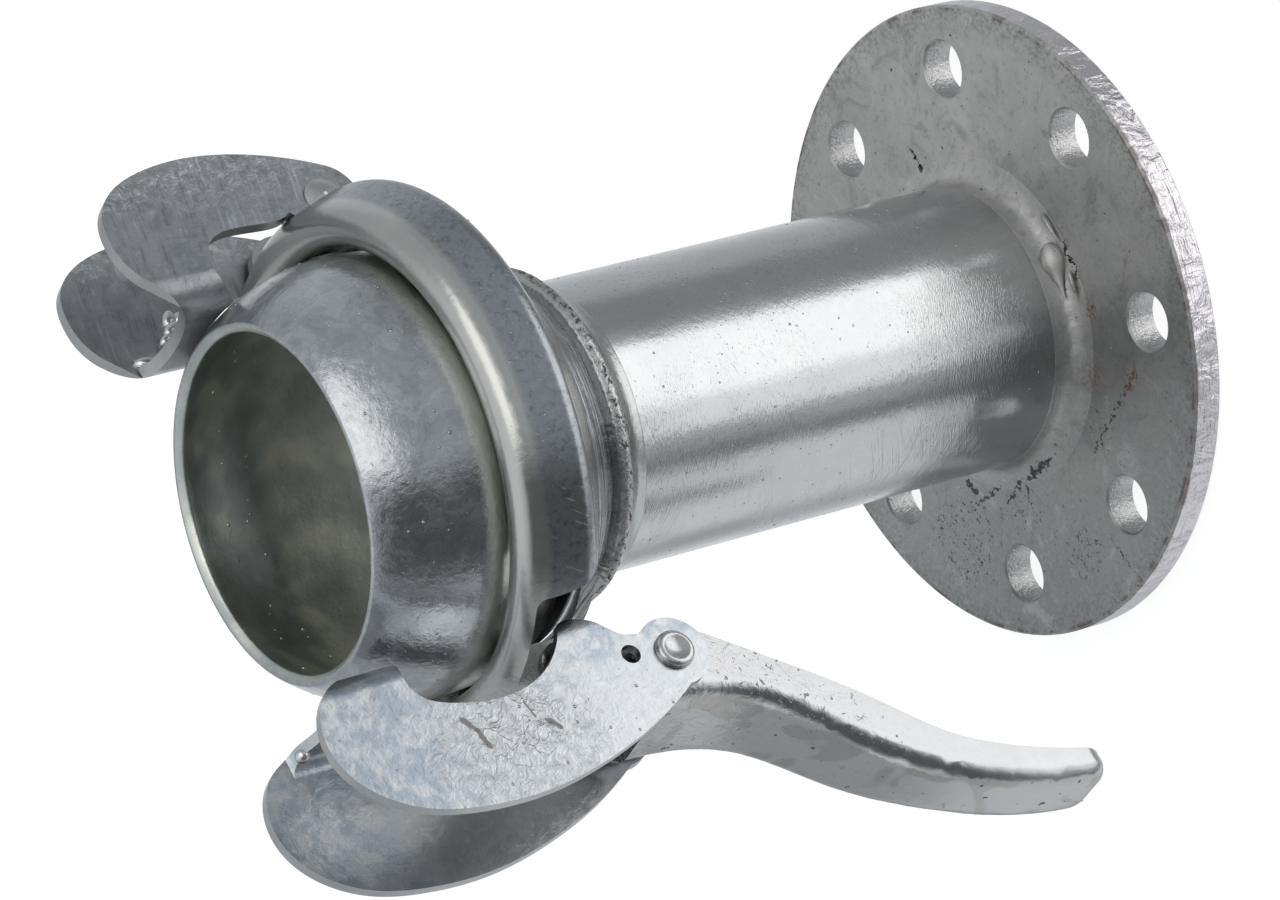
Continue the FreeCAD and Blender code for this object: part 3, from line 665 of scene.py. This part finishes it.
# The ears beside the pivot are painted pale, rough and less metallic: painted light, since they sit
# in shade in the gap beside the lever
ears_painted_pale = spot_mask(ring_skin, (80, 0, 222), 14, 8) * ring_skin.y.size().step(18, 16)
ring_skin.tint(ears_painted_pale * 0.9, grey(0.86))
ring_skin.metal = 1 - ears_painted_pale * 0.6
ring_skin.rough += ears_painted_pale * 0.30
ring_skin.relief += ears_painted_pale * (crystals - 0.5) * 1.6
drawn = ring_skin.rings(0.02, 0.7)
ring_skin.relief += (drawn - 0.5) * ring_skin.z.step(216, 212) * 0.6
nose = ring_skin.z.step(232, 235)
ring_skin.tint(nose * 0.4, (0.52, 0.52, 0.48, 1))
finishes["locking_ring"] = ring_skin.done()

# %% [markdown]
# ## The hooks
#
# Both hooks are folded sheet.  The catch hook is dark and spangled, with streaks along the
# sheet.  The lever hook's cheek is the palest surface, a wrinkled crust of zinc that was
# still running as it set, with brown flux stains.  The cut edges and webs of both are painted
# lighter, as a painted highlight.  The crust could be sculpted, but it is a fraction of a
# millimetre thick, so relief in the finish is enough, and it stays as sharp from close by.

# %% Catch hook finish


def painted_edge_highlight(skin, colour):
    """Painted highlight: lightens the faces that look neither left nor right, the cut edge and the
    web.
    """
    skin.tint(skin.facing[1].size().step(0.75, 0.35) * 0.7, colour)


catch_skin = Skin("catch_hook_zinc", tone=0.40, warmth=-0.04, contrast=0.30, cloud=0.06,
                  shine=0.26, dull=0.42, lumps=0.10, grain=0.02, pits=0.2, seed=7)
catch_skin.spangle(4.5, 0.12, 0.06)
streaks = catch_skin.streaks((0, 0.15, 0), (0.05, 0.8, 0.8), 3.0, 0.7)
uneven = catch_skin.noise(0.05, 4.0, 0.6, 0.5)
catch_skin.tint(streaks.step(0.52, 0.68) * uneven.step(0.42, 0.60) * 0.55, grey(0.68, -0.07))
catch_skin.tint(streaks.step(0.46, 0.34) * uneven.step(0.58, 0.42) * 0.50, grey(0.17, -0.05))
catch_skin.tint(uneven.step(0.50, 0.36) * 0.35, grey(0.24, -0.10))
frost = catch_skin.noise(0.28, 5.0, 0.75, 0.6)
rime = catch_skin.x.step(-84, -102) * 0.8 + 0.2
catch_skin.tint(frost.step(0.50, 0.62) * rime * 0.6, grey(0.76, -0.03))
catch_skin.relief += (frost - 0.5) * rime * 0.5
painted_edge_highlight(catch_skin, grey(0.56, 0.02))
finishes["catch_hook"] = catch_skin.done()

# %% Lever hook finish
hook_skin = Skin("lever_hook_zinc", tone=0.54, warmth=-0.04, contrast=0.30, cloud=0.05,
                 shine=0.24, dull=0.38, lumps=0.16, grain=0.03, pits=0.2, seed=9)
tree = hook_skin.tree
cheek = hook_skin.facing[1].step(0.6, 0.9)
crust_place = tree.vector("ADD", hook_skin.loose, tree.vector(
    "SCALE", hook_skin.noise(0.12, 2.0, out="Color"), Scale=5.0))
wrinkle = tree.cells(crust_place, 0.30, "SMOOTH_F1")
creases = tree.noise(crust_place, 0.20, 5.0, 0.66, 1.8)
middle = spot_mask(hook_skin, (102, 24, 252), 16, 22)
near_side = cheek * hook_skin.y.step(12, 16)
stamped = spot_mask(hook_skin, (97, 24, 250), 7, 12)
crusty = cheek * (middle * 0.8 + 0.2)
lines = tree.noise(crust_place, 0.16, 2.0, 0.5, 0.8)
ridge = (lines - 0.5).size().step(0.030, 0.0)
hook_skin.relief += crusty * ((creases - 0.5) * 0.34 + (0.5 - wrinkle) * 0.04)
hook_skin.relief += near_side * stamped * ridge * 0.10
frost = hook_skin.noise(0.22, 5.0, 0.75, 0.6)
hook_skin.tint(frost.step(0.52, 0.64) * 0.30, grey(0.80, -0.03))
hook_skin.tint(frost.step(0.46, 0.34) * 0.30, grey(0.36, -0.07))
hook_skin.tint(near_side * 0.30, grey(0.70, -0.045))
blue_nose = hook_skin.z.step(262, 285) + hook_skin.x.step(90, 81) * hook_skin.z.step(228, 222)
blue = hook_skin.noise(0.16, 3.0, 0.6).step(0.38, 0.6)
hook_skin.tint(blue_nose.smaller(1.0) * blue * 0.75, (0.32, 0.38, 0.45, 1))
flux = (0.30, 0.27, 0.23, 1)
ragged = hook_skin.noise(0.5, 3.0, 0.6)
# from, to, on the cheek as x and z in mm, half width
flux_strokes = (((91, 265), (95, 262), 1.1), ((95, 262), (101, 261), 0.9),
                ((98, 240), (101, 237), 1.0), ((91, 244), (96, 243), 0.5))
for start, end, half_width in flux_strokes:
    gap = stroke_gap(hook_skin.x, hook_skin.z, start, end)
    hook_skin.stain((ragged * 2.0 * half_width - gap).step(0.0, 0.4) * near_side * 0.8, flux, 0.7)
painted_edge_highlight(hook_skin, grey(0.56))
finishes["lever_hook"] = hook_skin.done()

# %% [markdown]
# ## The lever
#
# The lever is swirled and pitted near its pivot and smooth towards its end, and its web has
# brown patches and long gouges.  Each face could have a material of its own, but one finish
# that asks which way a face looks stays in step along their edge.

# %% Lever finish
lever_skin = Skin("lever_zinc", tone=0.50, warmth=-0.015, contrast=0.20, cloud=0.05, shine=0.18,
                  dull=0.30, lumps=0.03, grain=0.012, pits=0.06, seed=8)
upper = lever_skin.z.step(110, 165)
pocks = lever_skin.noise(0.45, 4.0, 0.7, 0.6).step(0.62, 0.69)
lever_skin.stain(pocks * upper * 0.7, grey(0.12, 0.05), 0.7, 0.12)
swirl = lever_skin.noise(0.14, 4.0, 0.6, 1.2)
lever_skin.relief += (swirl - 0.5) * (upper * 0.30 + 0.04)
web = lever_skin.facing[1].size().step(0.7, 0.3)
# Painted shade: the web, which faces down, is a little darker
lever_skin.tint(web * 0.35, grey(0.42, 0.01))
patch = lever_skin.noise(0.045, 2.0, 0.5, 0.5).step(0.50, 0.53) * web
lever_skin.tint(patch * 0.45, (0.30, 0.275, 0.25, 1))
gouge = lever_skin.streaks((0, 0.7, 0), (0.06, 0.26, 0.26), 3.0)
lever_skin.stain(gouge.step(0.68, 0.71) * web * 0.8, (0.15, 0.11, 0.09, 1), 0.8, 0.12)
finishes["lever"] = lever_skin.done()

# %% [markdown]
# ## Welds, pins and drips
#
# The neck weld is a fat bead with soot and pale spots on its crown, browner on the catch
# hook's side.  It could share the pipe's finish, but the dirt belongs to its crown alone.
# The pins and drips are small, so their finish is plain zinc.

# %% Weld, pin and drip finishes
weld_skin = Skin("weld_zinc", tone=0.52, green=0.01, contrast=0.2, cloud=0.08,
                 shine=0.16, dull=0.30, lumps=0.15, grain=0.02, pits=0.2, seed=3)
crown = weld_skin.z.band(180.6, 184.2, 0.8)
dirt = weld_skin.noise(0.55, 4.0, 0.7, 0.5)
weld_skin.stain(crown * dirt.step(0.51, 0.60) * 0.85, (0.045, 0.040, 0.036, 1), 0.6, 0.10)
weld_skin.tint(crown * dirt.step(0.43, 0.36) * 0.6, grey(0.80, 0.02))
weld_skin.relief += crown * (dirt - 0.5) * -0.5
weld_skin.stain(crown * weld_skin.x.step(10, -40) * 0.5, (0.22, 0.19, 0.165, 1), 0.6)
weld_skin.tint(weld_skin.z.band(170, 180, 1.0) * 0.4, (0.44, 0.47, 0.45, 1))
finishes["weld"] = weld_skin.done()

pin_skin = Skin("pin_zinc", tone=0.56, warmth=-0.01, contrast=0.2, cloud=0.12, shine=0.20,
                dull=0.36, lumps=0.08, grain=0.01, pits=0.2, seed=6)
finishes["pin"] = pin_skin.done()

drip_skin = Skin("drip_zinc", tone=0.66, contrast=0.12, cloud=0.15, shine=0.18,
                 dull=0.30, lumps=0.05, grain=0.01, pits=0.0, seed=10)
finishes["drip"] = drip_skin.done()

of_node = {name: name for name in nodes}
of_node.update({"flange_weld": "flange", "bore_weld": "flange", "neck_weld": "weld",
                "lever_pin": "pin", "catch_hook_pin": "pin", "lever_hook_pin": "pin"})

# %% [markdown]
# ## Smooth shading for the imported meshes
#
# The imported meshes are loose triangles.  Their points could be merged once and the normals
# set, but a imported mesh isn't to be changed.  A small Geometry Nodes modifier merges the
# points and keeps only the edges sharp where faces meet at more than the crease angle.

# %% Smooth by angle
crease_angle = math.radians(32)
merge_gap = 0.002 * mm

smoothing = Tree(bpy.data.node_groups.new("smooth_by_angle", "GeometryNodeTree"))
wires = smoothing.takes(Geometry=("Geometry", None), Crease=("Float", crease_angle),
                        Merge_gap=("Float", merge_gap))
shape = smoothing.add("GeometryNodeMergeByDistance", None,
                      {"Geometry": wires["Geometry"], "Distance": wires["Merge_gap"]})
shape = smoothing.add("GeometryNodeSetShadeSmooth", None, {"Geometry": shape})
sharp = smoothing.add("FunctionNodeCompare", {"operation": "GREATER_THAN"},
                      {"A": smoothing.add("GeometryNodeInputMeshEdgeAngle"),
                       "B": wires["Crease"]})
shape = smoothing.add("GeometryNodeSetShadeSmooth", {"domain": "EDGE"},
                      {"Geometry": shape, "Selection": sharp, "Shade Smooth": False})
smoothing.gives(shape)

# %% [markdown]
# ## Worn edges
#
# The sheet's edges are worn round, and the thin tooth that each window beside the lever leaves
# on the ring's lip is dressed off.  The meshes could be edited, but live modifiers leave the
# packed ones as they are: a small tree cuts with two blocks, and bevels round the edges.

# %% Trim the ring's lip
tooth_from = (66.5, 35.0, 205.0)
tooth_to = (82.0, 49.6, 217.0)
trimming = Tree(bpy.data.node_groups.new("trim_lip", "GeometryNodeTree"))
wires = trimming.takes(Geometry=("Geometry", None),
                       Low_corner=("Vector", [v * mm for v in tooth_from]),
                       High_corner=("Vector", [v * mm for v in tooth_to]))
low, high = wires["Low_corner"], wires["High_corner"]
block = trimming.add("GeometryNodeMeshCube", None, {"Size": trimming.vector("SUBTRACT", high, low)})
middle = trimming.vector("SCALE", trimming.vector("ADD", high, low), Scale=0.5)
cut = wires["Geometry"]
for side in (1, -1):
    placed = trimming.add("GeometryNodeTransform", None, {
        "Geometry": block, "Translation": trimming.vector("MULTIPLY", middle, (1, side, 1))})
    cut = trimming.add("GeometryNodeMeshBoolean", {"operation": "DIFFERENCE", "solver": "EXACT"},
                       {"Mesh 1": cut, "Mesh 2": placed})
trimming.gives(cut)

# %% Round the sheet's edges and assign the finishes
rounding_mm = {"catch_hook": 0.8, "lever_hook": 0.8, "lever": 0.6, "locking_ring": 0.4}
flat_angle = math.radians(0.6)
edge_angle = math.radians(40)
for name, width in rounding_mm.items():
    merge = nodes[name].modifiers.new("merge", "WELD")
    merge.merge_threshold = merge_gap
    if name == "locking_ring":
        nodes[name].modifiers.new("trim", "NODES").node_group = trimming.tree
    flatten = nodes[name].modifiers.new("flatten", "DECIMATE")
    flatten.decimate_type = "DISSOLVE"
    flatten.angle_limit = flat_angle
    soften = nodes[name].modifiers.new("soften", "BEVEL")
    soften.width = width * mm
    soften.segments = 2
    soften.limit_method = "ANGLE"
    soften.angle_limit = edge_angle

for name, node in nodes.items():
    node.modifiers.new("smooth", "NODES").node_group = smoothing.tree
    if name in rounding_mm:
        node.modifiers.new("even", "WEIGHTED_NORMAL").keep_sharp = True
    node.data.materials.clear()
    node.data.materials.append(finishes[of_node[name]])
print("finished nodes:", len(nodes), "with", len(finishes), "finishes")

# %% [markdown]
# ## Geometry Nodes results as plain meshes
#
# The next pieces are made by Geometry Nodes on a helper object.  The modifier could stay
# live, but the export needs real meshes, so the result is taken out as a plain mesh, and the
# helper is deleted.

# %% Make a piece from a mesh or a tree


def add_piece(name, mesh, body):
    """A new piece that rides on a body."""
    piece = add_object(name, mesh)
    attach(piece, body)
    triangles = sum(len(face.vertices) - 2 for face in mesh.polygons)
    print(name, "on", body, "has", triangles, "triangles")
    return piece


def grow(tree, name, body, slot, start=None, **values):
    """A piece whose mesh is what a tree makes of the start mesh, or of nothing."""
    helper = add_object("helper", start or bpy.data.meshes.new("helper"))
    modifier = helper.modifiers.new("grow", "NODES")
    modifier.node_group = tree.tree
    for key, value in values.items():
        modifier[tree.inputs[key]] = value
    ready = helper.evaluated_get(bpy.context.evaluated_depsgraph_get())
    mesh = bpy.data.meshes.new_from_object(ready)
    mesh.name = name
    bpy.data.objects.remove(helper)
    return add_piece(name, mesh, body)


# %% [markdown]
# ## Weld beads
#
# A weld bead follows a circle and keeps one cross-section, so it is a ring by formula: a flat
# grid whose one side is the way round and whose other side is the way along the section.
# Two curves give the section's radius and height, and noise lifts the crown in ripples, which
# a lathed shape can't have.

# %% Bead tree


def section_curve(tree, share, numbers):
    """A number that follows a list while the share goes from 0 to 1."""
    low, high = min(numbers), max(numbers)
    curve = tree.add("ShaderNodeFloatCurve", None, {"Value": share})
    points = curve.socket.node.mapping.curves[0].points
    while len(points) < len(numbers):
        points.new(0.5, 0.5)
    for index, number in enumerate(numbers):
        points[index].location = (index / (len(numbers) - 1), (number - low) / (high - low))
        points[index].handle_type = "AUTO_CLAMPED"
    curve.socket.node.mapping.update()
    return curve * (high - low) + low


crown_edge = 0.08       # of the way along the section


def bead_tree(name, section, middle):
    """section is a closed list of (radius, height) in mm, middle a point inside it."""
    tree = Tree(bpy.data.node_groups.new(name, "GeometryNodeTree"))
    wires = tree.takes(Steps_round=("Int", 720), Steps_across=("Int", 49),
                       Ripple=("Float", 0.4), Ripples_per_mm=("Float", 0.2),
                       Crown_from=("Float", 0.4), Crown_to=("Float", 0.8),
                       Seed=("Float", 1.0), Material=("Material", None))
    grid = tree.add("GeometryNodeMeshGrid", None,
                    {"Size X": 1.0, "Size Y": 1.0, "Vertices X": wires["Steps_round"],
                     "Vertices Y": wires["Steps_across"]})
    round_share, across_share = tree.split(tree.add("GeometryNodeInputPosition"))[:2]
    turn = (round_share + 0.5) * math.tau
    share = across_share + 0.5
    out = section_curve(tree, share, [r for r, z in section])
    up = section_curve(tree, share, [z for r, z in section])
    east, north = turn.maths("COSINE"), turn.maths("SINE")
    place = tree.join(east * out, north * out, up + wires["Seed"] * 40)
    crown = (share.step(wires["Crown_from"], wires["Crown_from"] + crown_edge)
             * share.step(wires["Crown_to"] + crown_edge, wires["Crown_to"]))
    coarse = tree.noise(place, wires["Ripples_per_mm"], 2.0, 0.5, 0.6)
    fine = tree.noise(place, wires["Ripples_per_mm"] * 3.1, 2.0, 0.6)
    lift = ((coarse - 0.5) * 2.4 + (fine - 0.5) * 1.3) * wires["Ripple"] * crown
    arm_out, arm_up = out - middle[0], up - middle[1]
    arm = long_side(arm_out, arm_up).larger(0.5)
    out = out + arm_out / arm * lift
    up = up + arm_up / arm * lift
    moved = tree.add("GeometryNodeSetPosition", None, {
        "Geometry": grid,
        "Position": tree.vector("SCALE", tree.join(east * out, north * out, up), Scale=mm)})
    # The grid's last row lies on its first, so merging closes the ring
    shape = tree.add("GeometryNodeMergeByDistance", None,
                     {"Geometry": moved, "Distance": 0.01 * mm})
    shape = tree.add("GeometryNodeSetShadeSmooth", None, {"Geometry": shape})
    shape = tree.add("GeometryNodeRealizeInstances", None, {"Geometry": shape})
    shape = tree.add("GeometryNodeSetMaterial", None,
                     {"Geometry": shape, "Material": wires["Material"]})
    return tree.gives(shape)


# %% Neck bead
pipe_face_mm = 44.45
neck_end_mm = 180.0
# Out from the pipe's face and up from the neck's end, in mm
neck_shape = ((-0.2, 0.0), (-0.2, -4.0), (-0.1, -8.6), (0.4, -6.4), (1.3, -4.0), (2.8, -1.9),
              (4.9, -0.2), (6.7, 1.1), (7.3, 2.6), (6.8, 4.2), (5.6, 5.5), (4.1, 6.2),
              (3.7, 3.0), (-0.2, 0.0))
neck_section = [(pipe_face_mm + out, neck_end_mm + up) for out, up in neck_shape]
neck_bead = grow(bead_tree("neck_bead", neck_section, (48.0, 181.5)), "neck_bead",
                 "coupling_body", "weld_metal", Steps_round=900, Ripple=0.22,
                 Ripples_per_mm=0.24, Crown_from=0.46, Crown_to=0.84, Seed=1.0,
                 Material=finishes["weld"])
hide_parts("neck_weld")

# %% Flange bead
# Out from the pipe's face and up from the flange's top, in mm
flange_shape = ((-0.2, -0.3), (4.0, -0.3), (9.0, -0.2), (8.2, 0.1), (7.0, 0.4), (5.2, 1.0),
                (3.1, 2.2), (1.2, 4.2), (0.3, 6.6), (-0.1, 8.2), (-0.2, 4.0), (-0.2, -0.3))
flange_section = [(pipe_face_mm + out, flange_top_mm + up) for out, up in flange_shape]
flange_bead = grow(bead_tree("flange_bead", flange_section, (46.5, 12.0)), "flange_bead",
                   "coupling_body", "weld_metal", Steps_across=45, Ripple=0.50,
                   Ripples_per_mm=0.10, Crown_from=0.20, Crown_to=0.55, Seed=2.0,
                   Material=finishes["flange"])
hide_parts("flange_weld")

# %% [markdown]
# ## Zinc pimples
#
# Small beads of zinc stand on every surface.  They could be bumps in the finish, but real
# ones catch the light at their edges and show in the outline, so they are small flat balls
# on points that Geometry Nodes scatters over each piece, away from the pivots.

# %% Pimple tree
pimple_width = 0.9      # both as a share of the length
pimple_height = 0.42


def pimple_tree(name, region):
    """region(x, y, z) is 1 where pimples may stand.  It takes places in mm."""
    tree = Tree(bpy.data.node_groups.new(name, "GeometryNodeTree"))
    wires = tree.takes(Geometry=("Geometry", None), Per_square_metre=("Float", 8000.0),
                       Smallest=("Float", 0.25 * mm), Largest=("Float", 0.7 * mm),
                       Seed=("Int", 1), Material=("Material", None))
    place = tree.vector("SCALE", tree.add("GeometryNodeInputPosition"), Scale=1 / mm)
    allowed = region(*tree.split(place))
    points = tree.add("GeometryNodeDistributePointsOnFaces", None, {
        "Mesh": wires["Geometry"], "Density": wires["Per_square_metre"],
        "Seed": wires["Seed"]})
    turned = Wire(tree, points.socket.node.outputs["Rotation"])
    chance = tree.add("FunctionNodeRandomValue", None, {"Seed": wires["Seed"]}, 1)
    size = wires["Smallest"] + (wires["Largest"] - wires["Smallest"]) * chance * chance
    ball = tree.add("GeometryNodeMeshIcoSphere", None, {"Radius": 1.0, "Subdivisions": 1})
    balls = tree.add("GeometryNodeInstanceOnPoints", None, {
        "Points": points, "Selection": allowed > 0.5,
        "Instance": ball, "Rotation": turned,
        "Scale": tree.join(size, size * pimple_width, size * pimple_height)})
    shape = tree.add("GeometryNodeRealizeInstances", None, {"Geometry": balls})
    shape = tree.add("GeometryNodeSetShadeSmooth", None, {"Geometry": shape})
    shape = tree.add("GeometryNodeSetMaterial", None,
                     {"Geometry": shape, "Material": wires["Material"]})
    return tree.gives(shape)


def away(x, z, x0, z0, reach):
    """1 farther than reach from a pivot that runs along Y."""
    return (x - x0) * (x - x0) + (z - z0) * (z - z0) > reach ** 2


pivot_mm = (81.95, 220.5)
hook_pivot_mm = (88.35, 190.8)


def on_ball(x, y, z):
    return z.band(241, 268, 1) * long_side(x, y).step(56.5, 57.5)


def on_pipe(x, y, z):
    return z.band(24, 166, 1) * (x * x + y * y > 43.5 ** 2)


def on_flange(x, y, z):
    return (z > 9.9) * (x * x + y * y > 56 ** 2)


def on_ring(x, y, z):
    return z.band(204, 232, 1) * (y.size() > 56)


def on_catch(x, y, z):
    return away(x, z, -pivot_mm[0], pivot_mm[1], 13) * (y.size() > 22.4) * (z < 268)


def on_hook(x, y, z):
    return away(x, z, *hook_pivot_mm, 13) * away(x, z, *pivot_mm, 12) * (y.size() > 24.8)


def on_lever(x, y, z):
    return (z < 165) * away(x, z, *hook_pivot_mm, 20)


# node, body, slot, region, pimples per square metre, largest in mm
pimpled = (
    ("ball_end", "coupling_body", "ball_steel", on_ball, 16000, 0.75),
    ("pipe", "coupling_body", "pipe_steel", on_pipe, 9000, 0.55),
    ("flange", "coupling_body", "flange_steel", on_flange, 3000, 0.6),
    ("locking_ring", "ring", "ring_steel", on_ring, 6000, 0.6),
    ("catch_hook", "catch", "catch_hook_steel", on_catch, 9000, 0.7),
    ("lever_hook", "hook", "lever_hook_steel", on_hook, 9000, 0.7),
    ("lever", "throw_lever", "lever_steel", on_lever, 4000, 0.6),
)
for seed, (name, body, slot, region, density, largest) in enumerate(pimpled, 11):
    grow(pimple_tree("pimples_" + name, region), name + "_pimples", body, slot,
         start=nodes[name].data, Per_square_metre=float(density), Largest=largest * mm,
         Seed=seed, Material=finishes[of_node[name]])

# %% [markdown]
# ## Drips
#
# Where the molten zinc ran off last it set as drips: tears on the flange weld, blobs in the
# hooks' inner corners and two beside the lever's pivot.  Each has its own place, so each is
# made by a formula instead of being scattered: a ball drawn out to a tail.

# %% Drip shape


def drip(shape, spot, up, along, length, width, height, tail=0.6):
    """Adds one closed drip to a bmesh.  spot is its middle in mm, up is where it bulges, and
    along points away from its tail."""
    up = Vector(up).normalized()
    along = (Vector(along) - Vector(along).dot(up) * up).normalized()
    side = up.cross(along)
    rings, steps = 12, 16
    rows = []
    for ring in range(1, rings):
        bow = math.pi * ring / rings
        reach = math.cos(bow)
        behind = max(0.0, -reach)
        girth = math.sin(bow) * (1 - tail * behind)
        reach = reach * (1 + tail * behind) * length / 2
        rows.append([
            shape.verts.new((Vector(spot) + along * reach
                             + side * (girth * width / 2 * math.cos(math.tau * k / steps))
                             + up * (girth * height * math.sin(math.tau * k / steps))) * mm)
            for k in range(steps)])
    front = shape.verts.new((Vector(spot) + along * length / 2) * mm)
    back = shape.verts.new((Vector(spot) - along * length / 2 * (1 + tail)) * mm)
    for k in range(steps):
        n = (k + 1) % steps
        shape.faces.new((front, rows[0][k], rows[0][n]))
        shape.faces.new((back, rows[-1][n], rows[-1][k]))
        for first, second in zip(rows, rows[1:]):
            shape.faces.new((first[k], second[k], second[n], first[n]))


# %% Drips on each body
# body, slot, then spot, up, along, length, width and height in mm, and the tail's share
drips = {
    ("weld_drips", "coupling_body", "weld_metal"): (
        ((9, 46.8, 13), (0.2, 0.7, 0.8), (-0.85, 0.30, 0), 13, 8, 2, 0.9),
        ((-1.5, 51.6, 11.2), (0, 0.5, 0.9), (-1, 0, 0), 9, 1.8, 0.9),
        ((17.5, 47.6, 11.4), (0.2, 0.5, 0.9), (-0.9, 0.35, 0), 8, 1.6, 0.8),
    ),
    ("ring_drips", "ring", "ring_steel"): (
        ((76.6, 10.6, 232.6), (0, 1, 0.2), (0.2, 0, 1), 4.6, 3.6, 1.5),
        ((79.5, 11.4, 231.2), (0.2, 1, 0), (1, 0, 0.2), 3.2, 2.2, 1),
    ),
    ("catch_drips", "catch", "catch_hook_steel"): (
        ((-75.2, -17.4, 262.4), (0.1, 1, 0.3), (0.8, 0, 0.3), 6, 4.6, 1.7, 0.1),
        ((-71.6, -17.3, 263.6), (0.1, 1, 0.3), (0.6, 0, 0.8), 6, 4.4, 2, 0.2),
        ((-69, -17.4, 266.4), (0.2, 1, 0.3), (0.5, 0, 0.9), 5, 3.4, 1.6, 0.2),
        ((-62.8, -17.5, 275.4), (0.3, 1, 0.3), (-0.3, 0, 1), 9, 4.2, 1.8, 0.3),
    ),
    ("hook_drips", "hook", "lever_hook_steel"): (
        ((69.4, -18.6, 289.4), (0.2, 1, 0.4), (0.5, 0, 0.8), 5.4, 4.4, 1.8),
    ),
}
drip_finish = {"weld_drips": "flange", "ring_drips": "locking_ring"}
for (name, body, slot), rows in drips.items():
    shape = bmesh.new()
    for row in rows:
        drip(shape, *row)
    bmesh.ops.recalc_face_normals(shape, faces=shape.faces)
    for face in shape.faces:
        face.smooth = True
    mesh = bpy.data.meshes.new(name)
    shape.to_mesh(mesh)
    shape.free()
    mesh.materials.append(finishes[drip_finish.get(name, "drip")])
    add_piece(name, mesh, body)
